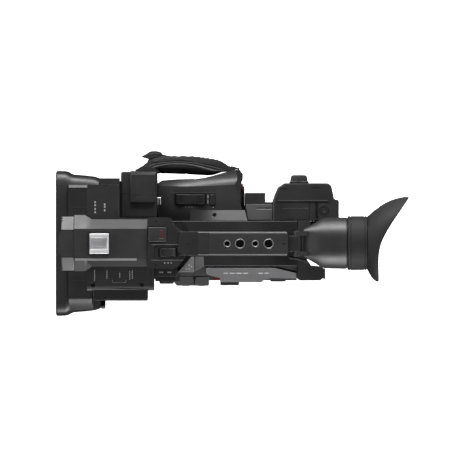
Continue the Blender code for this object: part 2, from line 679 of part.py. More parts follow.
def control_side():
    """The side housing, its sloping panel and the controls on it."""
    inner = -CASE_HALF - GAP
    section = [(inner, 14), (-36, 14), (SIDE_Y, 22), (SIDE_Y, SIDE_SHOULDER), (inner, SIDE_TOP)]
    face = -45.3
    housing = prism("left_side_housing", section, "X", -50, 97.7)
    block = [(-36, -38), (-30.5, face), (4, face), (4, -38)]
    fuse(housing, prism("control_block", block, "Z", 59, 104, 1.0))
    fuse(housing, box("audio_guard", (16, -45, 93), (35.5, -39, 98), 0.8))
    for x in (-21, -4):
        cut(housing, rod("button_hole", 4.4, "Y", (x, face, 82), -2, 2.6, 16))
    cut(housing, rod("dial_hole", 8.6, "Y", (78, SIDE_Y, 80), -2, 3, 24))
    finish(housing, CHARCOAL, 0.55)
    for number, x in ((1, -21), (2, -4)):
        name = "user_button_" + str(number)
        finish(rod(name, 4, "Y", (x, face, 82), -0.6, 1.1, 16, 0.4), BLACK, 0.5)
    finish(rod("menu_dial", 8.1, "Y", (78, SIDE_Y, 80), -1.5, 2.6, 24, 0.6), BLACK, 0.5)
    for number, x in ((1, 21), (2, 32)):
        name = "audio_knob_" + str(number)
        finish(rod(name, 4.6, "Y", (x, SIDE_Y, 86), -5.4, -GAP, 16, 0.6), BLACK, 0.5)

    low = SIDE_SHOULDER + 0.2
    panel_section = [side_slope(0.35, low), side_slope(0.35, SIDE_TOP), side_slope(2.4, SIDE_TOP),
                     side_slope(2.4, low)]
    panel = prism("side_panel", panel_section, "X", 1, 97)
    rear_top = [(69, -23), (69, -24.6), (99, -32), (99, -20)]
    rear_low = [(60, -46), (60, -42.5), (62, -39.5), (70, -37), (99, -37.6), (99, -46)]
    front_low = [(0, -46), (17.5, -46), (17, -41), (14, -37), (5, -34), (0, -31)]
    for outline in (rear_top, rear_low, front_low):
        cut(panel, prism("panel_edge", outline, "Z", 90, 160))
    finish(panel, GREY, 0.4, 0.3)


def rear_pieces():
    """The battery, its release and the memory card door."""
    finish(box("battery", (112.1, -10, 40), (146, 23.6, 112), 1.5), BLACK, 0.5)
    latch = box("battery_latch", (110.8, -4, 118), (114.4, 12, 126), 0.5)
    finish(latch, GREY, 0.5)
    pivot("battery_latch_start", (112, 4, 122), [latch])
    door = box("card_door", (126.5, -38, 58), (128.2, -27, 112), 0.4)
    finish(door, CHARCOAL, 0.5)
    pivot("card_door_axis", (127.35, -27, 85), [door])


base_plate()
casing("left_casing", CHARCOAL, -GAP / 2, 60)
casing("right_casing", CHARCOAL, -60, GAP / 2)
rear_cover()
boards()
lens_barrel()
front_lens()
control_ring("focus_ring", -104.6, -91, RING_R)
control_ring("zoom_ring", -90.6, -79, RING_R - 1)
control_ring("iris_ring", -78.6, -66, RING_R - 2)
nd_filter()
lens_hood()
hood_shutter()
spine_cover()
accessory_shoe()
lcd_bay()
monitor()
xlr_block()
handle()
evf_hinge()
viewfinder()
grip()
hand_strap()
right_side()
control_side()
rear_pieces()
bpy.context.view_layer.update()
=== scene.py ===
"""The looks of a handheld camcorder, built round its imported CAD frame.

Lengths are in millimetres and are scaled to metres when a piece is made. The lens looks along -X,
the viewfinder along +X, the grip is on the +Y side and +Z is up.
"""
import json
import math

import bmesh
import bpy
from mathutils import Matrix, Vector


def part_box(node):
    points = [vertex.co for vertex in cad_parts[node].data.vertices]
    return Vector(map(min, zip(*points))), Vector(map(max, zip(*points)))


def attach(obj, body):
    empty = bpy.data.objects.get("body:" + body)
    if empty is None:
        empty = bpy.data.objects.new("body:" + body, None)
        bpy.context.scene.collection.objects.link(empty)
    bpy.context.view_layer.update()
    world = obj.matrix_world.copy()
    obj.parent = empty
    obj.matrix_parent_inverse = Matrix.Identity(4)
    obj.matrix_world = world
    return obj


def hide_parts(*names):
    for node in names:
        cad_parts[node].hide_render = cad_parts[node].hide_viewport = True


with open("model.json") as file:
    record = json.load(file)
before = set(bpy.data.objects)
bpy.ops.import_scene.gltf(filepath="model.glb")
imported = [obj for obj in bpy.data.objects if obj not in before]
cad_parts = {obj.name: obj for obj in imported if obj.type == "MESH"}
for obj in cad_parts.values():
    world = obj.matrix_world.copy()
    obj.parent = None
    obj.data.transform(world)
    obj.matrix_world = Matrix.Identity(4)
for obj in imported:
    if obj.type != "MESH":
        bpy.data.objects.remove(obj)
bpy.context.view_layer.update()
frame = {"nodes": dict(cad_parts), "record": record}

MM = 0.001
BODY_OF = {node: body for body, nodes in frame["record"]["behaviour"]["bodies"].items() for node in nodes}


def span(node):
    """The lowest and highest corner of a CAD node, in millimetres."""
    low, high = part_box(node)
    return low / MM, high / MM


def middle(node):
    """The centre of a CAD node, in millimetres."""
    return tuple((a + b) / 2 for a, b in zip(*span(node)))


# ---------------------------------------------------------------- materials

def node(tree, kind, inputs=None, **settings):
    """A shader node with its settings made and its inputs set or linked."""
    made = tree.nodes.new("ShaderNode" + kind)
    for key, value in settings.items():
        setattr(made, key, value)
    for key, value in (inputs or {}).items():
        if isinstance(value, bpy.types.NodeSocket):
            tree.links.new(value, made.inputs[key])
        else:
            made.inputs[key].default_value = value
    return made


def noise(tree, place, scale, detail=3.0):
    return node(tree, "TexNoise", {"Vector": place, "Scale": scale, "Detail": detail}).outputs[0]


def remap(tree, value, low, high, start=0.3, end=0.7):
    """A noise value carried to a range, held at both ends."""
    return node(tree, "MapRange", {0: value, 1: start, 2: end, 3: low, 4: high}).outputs[0]


def calc(tree, operation, first, second):
    return node(tree, "Math", {0: first, 1: second}, operation=operation).outputs[0]


def mix(tree, factor, first, second):
    return node(tree, "Mix", {0: factor, 6: first, 7: second}, data_type="RGBA").outputs[2]


def shade(colour, factor):
    return tuple(min(1.0, c * factor) for c in colour[:3]) + (1.0,)


def stretched(tree, place, scale):
    return node(tree, "Mapping", {"Vector": place, "Scale": scale}).outputs[0]


def moulded(tree, place, grain):
    """Fine spark-eroded grain, as moulded plastic has."""
    fine = noise(tree, place, grain, 2.0)
    coarse = noise(tree, place, grain * 0.35, 2.0)
    return calc(tree, "ADD", fine, calc(tree, "MULTIPLY", coarse, 0.6))


def brushed(tree, place, grain):
    """Long fine scratches along X."""
    return noise(tree, stretched(tree, place, (0.06, 1.0, 1.0)), grain, 2.0)


def creased(tree, place, grain):
    """Leather: pebbles with creases between them."""
    warped = node(tree, "Mix", {0: 0.0012, 4: place,
            5: node(tree, "TexNoise", {"Vector": place, "Scale": grain * 0.4}).outputs["Color"]},
        data_type="VECTOR").outputs[1]
    cells = node(tree, "TexVoronoi", {"Vector": warped, "Scale": grain},
        feature="DISTANCE_TO_EDGE").outputs[0]
    return calc(tree, "ADD", remap(tree, cells, 0.0, 1.0, 0.0, 0.14),
        calc(tree, "MULTIPLY", noise(tree, place, grain * 0.3), 0.8))


def woven(tree, place, grain):
    """Plain webbing: ribs one way, and ribs the other way in the alternate places."""
    along = node(tree, "TexWave", {"Vector": place, "Scale": grain / 20, "Distortion": 0.4},
        bands_direction="X", wave_profile="SIN").outputs[1]
    across = node(tree, "TexWave", {"Vector": place, "Scale": grain / 20, "Distortion": 0.4},
        bands_direction="Z", wave_profile="SIN").outputs[1]
    fuzz = noise(tree, place, grain * 2, 2.0)
    return calc(tree, "ADD", calc(tree, "MAXIMUM", along, across), calc(tree, "MULTIPLY", fuzz, 0.5))


def tracks(tree, place, grain):
    """Copper tracks on a circuit board."""
    return node(tree, "TexBrick", {"Vector": place, "Scale": grain / 4, "Mortar Size": 0.03}).outputs[1]


def finish(name, colour, rough, metal=0.0, relief=moulded, grain=1400.0, depth=0.04, tone=0.14, edge_wear_and_highlight=1.8,
        wear_rough=-0.1, sheen=0.0, coat=0.0, level=0.5, pattern_tone=0.0):
    """A material with uneven tone, uneven gloss, surface relief and lighter, polished edges, whose lighter
    colour is partly wear and partly a painted highlight.
    """
    material = bpy.data.materials.new(name)
    material.use_nodes = True
    tree = material.node_tree
    shader = tree.nodes["Principled BSDF"]
    place = node(tree, "TexCoord").outputs["Object"]
    height = relief(tree, place, grain)
    patches = remap(tree, noise(tree, place, 32.0, 5.0), 0.0, 1.0)
    body = mix(tree, patches, shade(colour, 1 - tone), shade(colour, 1 + tone))
    if pattern_tone:
        body = mix(tree, calc(tree, "MULTIPLY", height, pattern_tone), body, shade(colour, 2.2))
    # The narrow edge faces get a lighter colour, partly as wear and partly as a painted highlight for the light
    # that rounded edges catch.
    edge = node(tree, "Attribute", attribute_name="edge").outputs["Fac"]
    rubbed_and_lit = calc(tree, "MULTIPLY", edge, remap(tree, noise(tree, place, 160.0, 4.0), 0.45, 1.0, 0.35,
            0.65))
    tree.links.new(mix(tree, rubbed_and_lit, body, shade(colour, edge_wear_and_highlight)), shader.inputs["Base Color"])
    gloss = remap(tree, noise(tree, place, 55.0, 4.0), rough - 0.05, rough + 0.05)
    gloss = calc(tree, "ADD", gloss, calc(tree, "MULTIPLY", rubbed_and_lit, wear_rough))
    tree.links.new(gloss, shader.inputs["Roughness"])
    bump = node(tree, "Bump", {"Strength": 0.35, "Distance": depth * MM, "Height": height})
    tree.links.new(bump.outputs[0], shader.inputs["Normal"])
    shader.inputs["Metallic"].default_value = metal
    shader.inputs["Specular IOR Level"].default_value = level
    if sheen:
        shader.inputs["Sheen Weight"].default_value = sheen
        shader.inputs["Sheen Roughness"].default_value = 0.45
    if coat:
        shader.inputs["Coat Weight"].default_value = coat
        shader.inputs["Coat Roughness"].default_value = 0.04
    return material


# The wear value in each look lightens the narrow edge faces, partly as wear and partly as a painted highlight.
LOOKS = {
    "body_plastic": ((0.0165, 0.0165, 0.017), 0.44, {"edge_wear_and_highlight": 2.0}),
    "dark_plastic": ((0.009, 0.009, 0.0095), 0.42, {"grain": 1800, "edge_wear_and_highlight": 2.2}),
    "grey_paint": ((0.083, 0.083, 0.085), 0.38, {"grain": 1100, "depth": 0.02, "tone": 0.06, "edge_wear_and_highlight": 1.6}),
    "bright_metal": ((0.74, 0.74, 0.75), 0.46, {
        "metal": 0.8, "relief": brushed, "grain": 2200, "depth": 0.02, "tone": 0.06, "edge_wear_and_highlight": 1.2}),
    "steel": ((0.30, 0.30, 0.31), 0.40, {
        "metal": 0.9, "relief": brushed, "grain": 1800, "depth": 0.02, "tone": 0.12, "edge_wear_and_highlight": 1.6}),
    "rubber": ((0.0095, 0.0095, 0.010), 0.70, {"grain": 1000, "depth": 0.05, "edge_wear_and_highlight": 1.3, "level": 0.28}),
    "strap_leather": ((0.0068, 0.0065, 0.0064), 0.52, {
        "relief": creased, "grain": 620, "depth": 0.16, "edge_wear_and_highlight": 2.4, "pattern_tone": 0.2}),
    "strap_fabric": ((0.0098, 0.0098, 0.0102), 0.72, {
        "relief": woven, "grain": 900, "depth": 0.22, "edge_wear_and_highlight": 1.8, "sheen": 0.06, "pattern_tone": 0.4}),
    "coated_glass": ((0.006, 0.008, 0.018), 0.07, {
        "grain": 60, "depth": 0.001, "tone": 0.3, "coat": 1.0, "edge_wear_and_highlight": 1.0, "wear_rough": 0.0}),
    "circuit_board": ((0.012, 0.085, 0.035), 0.4, {
        "relief": tracks, "grain": 900, "depth": 0.03, "pattern_tone": 0.6}),
    "record_red": ((0.085, 0.008, 0.010), 0.4, {"grain": 1500, "edge_wear_and_highlight": 1.4}),
    # pale_paint is a lighter copy of grey_paint; on the shoulder wedge it is painted light that makes up for the
    # handle head's shadow.
    "pale_paint": ((0.135, 0.135, 0.138), 0.42, {"grain": 1100, "depth": 0.02, "tone": 0.06, "edge_wear_and_highlight": 1.4}),
    "grille": ((0.046, 0.046, 0.047), 0.45, {"grain": 1300, "depth": 0.03, "tone": 0.08, "edge_wear_and_highlight": 1.5}),
    "screw_black": ((0.0035, 0.0035, 0.0035), 0.5, {"metal": 0.3, "grain": 2000, "edge_wear_and_highlight": 1.5}),
    "dull_red": ((0.034, 0.008, 0.009), 0.5, {"grain": 1500, "edge_wear_and_highlight": 1.3}),
    "print": ((0.34, 0.34, 0.34), 0.5, {"grain": 1500, "depth": 0.01, "tone": 0.05, "edge_wear_and_highlight": 1.0}),
}
FINISH = {name: finish(name, colour, rough, **how) for name, (colour, rough, how) in LOOKS.items()}


# ---------------------------------------------------------------- shapes, in millimetres

def block(low, high):
    """A box between two corners."""
    shape = bmesh.new()
    bmesh.ops.create_cube(shape, size=1.0)
    for vert in shape.verts:
        vert.co = [a + (b - a) * (t + 0.5) for a, b, t in zip(low, high, vert.co)]
    return shape


def sides(shape, rows, closed=False):
    """Faces between rows of points; a row of one point is a tip."""
    pairs = list(zip(rows, rows[1:]))
    if closed:
        pairs.append((rows[-1], rows[0]))
    for first, second in pairs:
        for i in range(max(len(first), len(second))):
            corners = [first[i % len(first)], first[(i + 1) % len(first)], second[(i + 1) % len(second)],
                second[i % len(second)]]
            shape.faces.new(list(dict.fromkeys(corners)))
    return shape


def loft(rings, closed=False):
    """A skin through rings of points, capped unless it returns to its first ring."""
    shape = bmesh.new()
    rows = [[shape.verts.new(point) for point in ring] for ring in rings]
    if not closed:
        for row in (rows[0], rows[-1]):
            if len(row) > 2:
                shape.faces.new(row)
    sides(shape, rows, closed)
    bmesh.ops.recalc_face_normals(shape, faces=shape.faces)
    return shape


def plate(outline, axis, low, high):
    """A flat outline extruded along an axis. Outlines are (y, z), (x, z) and (x, y)."""
    order = {"X": (2, 0, 1), "Y": (0, 2, 1), "Z": (0, 1, 2)}[axis]
    rings = [[tuple((*point, height)[i] for i in order) for point in outline] for height in (low, high)]
    return loft(rings)


def lathe(profile, axis, centre, steps=72, closed=False, teeth=None):
    """A turned shape. Profile points are (radius, height); teeth are (number, depth, least radius)."""
    if teeth:
        steps = teeth[0] * 4
    turn = {"X": lambda r, a, h: (h, r * math.cos(a), r * math.sin(a)), "Y": lambda r, a,
        h: (r * math.sin(a), h, r * math.cos(a)), "Z": lambda r, a,
        h: (r * math.cos(a), r * math.sin(a), h)}[axis]
    rings = []
    for radius, height in profile:
        ring = []
        for i in range(steps if radius > 0.001 else 1):
            groove = teeth[1] if teeth and radius >= teeth[2] and i % 4 > 1 else 0.0
            ring.append(Vector(turn(radius - groove, 2 * math.pi * (i + 0.5) / steps,
                    height)) + Vector(centre))
        rings.append(ring)
    return loft(rings, closed)


def disc(radius, axis, centre, low, high, edge=0.3, steps=32):
    """A round boss with both ends chamfered."""
    return lathe([(0, high), (radius - edge, high), (radius, high - edge), (radius, low + edge),
            (radius - edge, low), (0, low)], axis, centre, steps)


def hoop(inner, outer, axis, centre, low, high, edge=0.2, steps=48):
    """A flat ring with chamfered rims."""
    return lathe([(inner, low), (outer, low), (outer, high - edge), (outer - edge, high),
            (inner + edge, high), (inner, high - edge)], axis, centre, steps, closed=True)


def oval(x, half_y, half_z, power, centre=(0.0, 0.0), count=64):
    """A ring across X: power 2 is an ellipse, and a high power is nearly a rectangle."""
    ring = []
    for i in range(count):
        angle = 2 * math.pi * (i + 0.5) / count
        c, s = math.cos(angle), math.sin(angle)
        ring.append((x, centre[0] + half_y * math.copysign(abs(c) ** (2 / power), c),
                centre[1] + half_z * math.copysign(abs(s) ** (2 / power), s)))
    return ring


def tube(points, radius, steps=10):
    """A round bar that follows points, with tapered ends."""
    points = [Vector(p) for p in points]
    rings = [[tuple(points[0])]]
    for i, point in enumerate(points):
        ahead = points[min(i + 1, len(points) - 1)] - points[max(i - 1, 0)]
        side = ahead.normalized().cross(Vector((0.31, 0.22, 0.92))).normalized()
        other = ahead.normalized().cross(side)
        shift = ahead.normalized() * radius * (0.5 if i == 0 else -0.5 if i == len(points) - 1 else 0.0)
        rings.append([tuple(point + shift + (side * math.cos(a) + other * math.sin(a)) * radius)
                for a in (2 * math.pi * k / steps for k in range(steps))])
    rings.append([tuple(points[-1])])
    return loft(rings)


def smooth(points, steps=4):
    """Points on a smooth curve through a few guide points."""
    ends = [points[0]] + list(points) + [points[-1]]
    result = []
    for a, b, c, d in zip(ends, ends[1:], ends[2:], ends[3:]):
        for k in range(steps):
            t = k / steps
            weights = ((-t + 2 * t * t - t ** 3) / 2, (2 - 5 * t * t + 3 * t ** 3) / 2,
                (t + 4 * t * t - 3 * t ** 3) / 2, (t ** 3 - t * t) / 2)
            result.append(tuple(sum(w * p[i] for w, p in zip(weights, (a, b, c, d)))
                    for i in range(len(b))))
    result.append(tuple(points[-1]))
    return result


def rounded(low, high, radius, steps=4):
    """A rectangle's outline with round corners."""
    points = []
    for k, (x, y) in enumerate(((high[0], high[1]), (low[0], high[1]), (low[0], low[1]),
            (high[0], low[1]))):
        cx = x - radius if x == high[0] else x + radius
        cy = y - radius if y == high[1] else y + radius
        for i in range(steps + 1):
            angle = math.pi / 2 * (k + i / steps)
            points.append((cx + radius * math.cos(angle), cy + radius * math.sin(angle)))
    return points


def softened(outline, radius, steps=4):
    """A closed outline with its corners rounded."""
    points = [Vector(point) for point in outline]
    result = []
    for i, corner in enumerate(points):
        before, after = points[i - 1] - corner, points[(i + 1) % len(points)] - corner
        reach = min(radius, before.length * 0.45, after.length * 0.45)
        start, end = corner + before.normalized() * reach, corner + after.normalized() * reach
        for k in range(steps + 1):
            t = k / steps
            result.append(tuple(start * (1 - t) ** 2 + corner * 2 * t * (1 - t) + end * t * t))
    return result


def above(a, b, c, reach=90.0):
    """A big block that lies on the upper side of the plane through three points."""
    a, b, c = Vector(a), Vector(b), Vector(c)
    normal = (b - a).cross(c - a).normalized()
    if normal.z < 0:
        normal.negate()
    shape = block((-reach, -reach, 0), (reach, reach, reach))
    turn = normal.to_track_quat("Z", "Y").to_matrix().to_4x4()
    shape.transform(Matrix.Translation(a) @ turn)
    return shape


def merged(shapes):
    """Several shapes in one."""
    whole = bmesh.new()
    for shape in shapes:
        mesh = bpy.data.meshes.new("part")
        shape.to_mesh(mesh)
        shape.free()
        whole.from_mesh(mesh)
        bpy.data.meshes.remove(mesh)
    return whole


def cad_shape(name):
    """A CAD node's shape with its triangles joined into flat faces."""
    shape = bmesh.new()
    shape.from_mesh(frame["nodes"][name].data)
    bmesh.ops.scale(shape, vec=(1 / MM,) * 3, verts=shape.verts)
    bmesh.ops.remove_doubles(shape, verts=shape.verts, dist=0.01)
    bmesh.ops.dissolve_limit(shape, angle_limit=math.radians(1.0), verts=shape.verts, edges=shape.edges)
    bmesh.ops.recalc_face_normals(shape, faces=shape.faces)
    return shape


# ---------------------------------------------------------------- pieces

def loose(name, shape):
    """A shape in millimetres as an object in metres."""
    bmesh.ops.scale(shape, vec=(MM, MM, MM), verts=shape.verts)
    mesh = bpy.data.meshes.new(name)
    shape.to_mesh(mesh)
    shape.free()
    item = bpy.data.objects.new(name, mesh)
    bpy.context.scene.collection.objects.link(item)
    return item


def settle(item):
    """Put the result of an object's modifiers in its mesh."""
    seen = item.evaluated_get(bpy.context.evaluated_depsgraph_get())
    mesh = bpy.data.meshes.new_from_object(seen)
    item.modifiers.clear()
    item.data = mesh
    return item


def mark_edges(mesh, width=1.0):
    """Mark the narrow faces along edges, which the materials paint lighter, partly as wear and partly as a
    painted highlight, and make glossier.
    """
    edge = mesh.attributes.new("edge", "FLOAT", "FACE")
    values = []
    for face in mesh.polygons:
        points = [mesh.vertices[i].co for i in face.vertices]
        longest = max((a - b).length for a, b in zip(points, points[1:] + points[:1]))
        narrow = face.area / max(longest, 1e-9) / MM
        values.append(1.0 if narrow < width and longest / MM > 2.5 * narrow else 0.0)
    edge.data.foreach_set("value", values)


def add(name, slot, shape, body="body", bevel=0.0, cuts=(), joins=(), segments=2, limit=32.0, edges=1.0,
        sharp=38.0):
    """A piece: a shape cut by others, with its edges rounded, that rides on a body."""
    item = loose(name, shape)
    for operation, others in (("UNION", joins), ("DIFFERENCE", cuts)):
        if not others:
            continue
        tool = loose(name + "_tool", merged(list(others)))
        boolean = item.modifiers.new(operation, "BOOLEAN")
        boolean.operation = operation
        boolean.solver = "EXACT"
        boolean.use_self = len(others) > 1
        boolean.object = tool
        settle(item)
        bpy.data.objects.remove(tool, do_unlink=True)
    if bevel:
        rounding = item.modifiers.new("rounding", "BEVEL")
        rounding.width = bevel * MM
        rounding.segments = segments
        rounding.limit_method = "ANGLE"
        rounding.angle_limit = math.radians(limit)
        settle(item)
    mesh = item.data
    mesh.polygons.foreach_set("use_smooth", [True] * len(mesh.polygons))
    mesh.set_sharp_from_angle(angle=math.radians(sharp))
    mark_edges(mesh, edges)
    weights = item.modifiers.new("weights", "WEIGHTED_NORMAL")
    weights.keep_sharp = True
    settle(item)
    item.data.materials.clear()
    item.data.materials.append(FINISH[slot])
    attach(item, body)
    return item


def trim(name, slot, shape, **how):
    """A small piece whose edges show no wear and no painted highlight."""
    return add(name, slot, shape, edges=0.0, **how)


def skin(name, slot, bevel=0.0, cuts=(), joins=(), shape=None, **how):
    """A piece that stands for a CAD node: its own shape, or a finer one."""
    item = add(name + "_skin", slot, shape or cad_shape(name), BODY_OF[name], bevel, cuts, joins, **how)
    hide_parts(name)
    return item


def dress(name, slot):
    """A new finish on a CAD node that is right as it is."""
    item = frame["nodes"][name]
    item.data.materials.clear()
    item.data.materials.append(FINISH[slot])


def swollen(shape, cap, frames=20):
    """A closed cover in millimetres, filled by cloth under pressure. No point moves further than the cap."""
    item = loose("cover", shape)
    start = [vert.co.copy() for vert in item.data.vertices]
    cloth = item.modifiers.new("cloth", "CLOTH")
    cloth.settings.use_pressure = True
    cloth.settings.uniform_pressure_force = 4.0
    cloth.settings.effector_weights.gravity = 0.0
    cloth.point_cache.frame_end = frames
    for number in range(1, frames + 1):
        bpy.context.scene.frame_set(number)
    settle(item)
    bpy.context.scene.frame_set(1)
    filled = bmesh.new()
    filled.from_mesh(item.data)
    for vert, place in zip(filled.verts, start):
        move = vert.co - place
        if move.length > cap * MM:
            vert.co = place + move.normalized() * cap * MM
    bmesh.ops.scale(filled, vec=(1 / MM,) * 3, verts=filled.verts)
    bpy.data.objects.remove(item, do_unlink=True)
    return filled


def mark(name, low, high, z, slot="print", tall=0.15):
    """A small printed bar on a face that looks up."""
    return trim(name, slot, plate(rounded(low, high, 0.3, 2), "Z", z - 0.05, z + tall))


def screw(name, axis, centre, radius=2.0, out=1.0, slot="screw_black", body="body"):
    """A countersunk screw head with a crossed slot. The axis points out of the face, or into it if out is -1."""
    along = {"X": Vector((1, 0, 0)), "Y": Vector((0, 1, 0)), "Z": Vector((0, 0, 1))}[axis] * out
    head = lathe([(0, 0.25), (radius - 0.5, 0.2), (radius, -0.1), (radius, -1.0), (0, -1.0)], "Z",
        (0, 0, 0), 28)
    arm = radius * 0.55
    cross = [block((-arm, -0.28, -0.5), (arm, 0.28, 1)), block((-0.28, -arm, -0.5), (0.28, arm, 1))]
    turn = along.to_track_quat("Z", "Y").to_matrix().to_4x4()
    for shape in [head] + cross:
        shape.transform(Matrix.Translation(Vector(centre)) @ turn)
    return add(name, slot, head, body, cuts=cross, edges=0.35)


# ---------------------------------------------------------------- lens

def lens():
    hood_low, hood_high = span("lens_hood")
    _, mid_y, mid_z = (hood_low + hood_high) / 2
    half_y = (hood_high.y - hood_low.y) / 2
    half_z = (hood_high.z - hood_low.z) / 2
    front, rear = hood_low.x, hood_high.x
    axis = (mid_y, mid_z)
    wall = 2.8

    def ring(x, less_y, less_z, power=9.0):
        return oval(x, half_y - less_y, half_z - less_z, power, axis, 96)

    rings = [ring(front, 1.3, 1.3), ring(front + 1.2, 0.0, 0.0), ring(front + 10, 0.2, 0.0),
        ring(front + 12.4, 0.8, 0.4), ring(front + 15.6, 2.8, 1.2), ring(front + 18.8, 3.9, 1.6),
        ring(front + 32, 4.9, 2.2), ring(rear - 6, 6.1, 3.0), ring(rear - 2, 7.4, 3.8),
        ring(rear, 8.6, 4.8), oval(rear, 44.5, 44.5, 2, axis, 96), oval(rear - 2, 44.5, 44.5, 2, axis, 96),
        ring(rear - 2, 7 + wall, 4 + wall)]
    steps = 9
    for i in range(steps):
        x = rear - 3 - (rear - front - 9) * i / steps
        less = 6.5 - 5.5 * i / steps
        rings += [ring(x, less + wall, less * 0.5 + wall),
            ring(x - 0.4, less + wall + 0.7, less * 0.5 + wall + 0.7),
            ring(x - 1.6, less + wall + 0.7, less * 0.5 + wall + 0.7),
            ring(x - 2.0, less + wall, less * 0.5 + wall)]
    rings += [ring(front + 1, wall, wall), ring(front, wall - 0.6, wall - 0.6)]
    skin("lens_hood", "dark_plastic", shape=loft(rings, closed=True), edges=0.0, sharp=50.0)
    top = mid_z + half_z
    crown = [(62.6, top - 6), (62.6, top - 0.8), (59.6, top + 1.8), (-59.0, top + 1.8), (-60.6, top + 0.2),
        (-63.0, top - 1.4), (-66.5, top - 3.2), (-70.5, top - 4.6), (-70.5, top - 8)]
    add("hood_crown", "dark_plastic", plate(crown, "X", front + 13.8, rear - 8.4), bevel=0.35, limit=20.0,
        edges=1.2)
    add("hood_latch", "dark_plastic", plate(rounded((rear - 7.6, -69.6), (rear + 0.2, -59.0), 2.4), "Z",
            top - 8, top + 0.6), bevel=0.8)
    for i in range(4):
        trim(f"hood_rib_{i}", "body_plastic", plate(rounded((front + 16.5, -40 + 26 * i),
                (rear - 9, -38.9 + 26 * i), 0.5), "Z", top - 3, top + 2.1))

    _, y, z = middle("lens_barrel")
    skin("lens_barrel", "dark_plastic", bevel=0.3, sharp=35.0)
    for name, slot, count, depth in (("focus_ring", "rubber", 84, 0.9), ("zoom_ring", "rubber", 120, 0.7),
            ("iris_ring", "rubber", 96, 0.7)):
        low, high = span(name)
        outer = (high.z - low.z) / 2
        inner = 36.4
        a, b = low.x, high.x
        profile = [(inner, b), (outer - 1.2, b), (outer - 0.8, b - 0.9), (outer - 0.8, b - 1.8),
            (outer, b - 2.2), (outer, a + 2.2), (outer - 0.8, a + 1.8), (outer - 0.8, a + 0.9),
            (outer - 1.2, a), (inner, a)]
        skin(name, slot, shape=lathe(profile, "X", (0, y, z), closed=True,
                teeth=(count, depth, outer - 0.1)), edges=0.0)
    high = span("iris_ring")[1]
    for i in range(24):
        angle = math.radians(-60 + 5 * i)
        tick = block((high.x - 1.6, -0.2, 0), (high.x - 0.7, 0.2, 48.3))
        tick.transform(Matrix.Translation((0, y, z)) @ Matrix.Rotation(angle, 4, "X"))
        trim(f"iris_tick_{i}", "grey_paint", tick, body="iris")

    low, high = span("front_lens")
    radius = (high.z - low.z) / 2
    dome = [(0.0, low.x), (radius * 0.3, low.x + 0.25), (radius * 0.6, low.x + 0.95),
        (radius * 0.85, low.x + 1.9), (radius - 0.3, low.x + 2.6), (radius - 0.3, high.x - 3.4),
        (radius * 0.6, high.x - 1.2), (0, high.x)]
    skin("front_lens", "coated_glass", shape=lathe(dome, "X", (0, y, z), 96), edges=0.0, sharp=60.0)
    barrel_front = span("lens_barrel")[0].x
    trim("lens_bezel", "dark_plastic", lathe([(38.2, barrel_front + 2.2), (38.2, barrel_front + 0.1),
            (43.0, barrel_front + 0.1), (43.6, barrel_front + 0.7), (41.5, barrel_front + 0.9),
            (40.0, barrel_front + 2.2)], "X", (0, y, z), 96, closed=True))
    for name in ("shutter_top", "shutter_bottom"):
        low, high = span(name)
        grooves = [block((low.x - 1, low.y + 8 + 13 * i, low.z - 1),
                (high.x - 6, low.y + 8.8 + 13 * i, low.z + 0.85)) for i in range(9)]
        skin(name, "dark_plastic", bevel=0.25, cuts=grooves)
    skin("shutter_lever", "dark_plastic", bevel=0.5)


# ---------------------------------------------------------------- top front

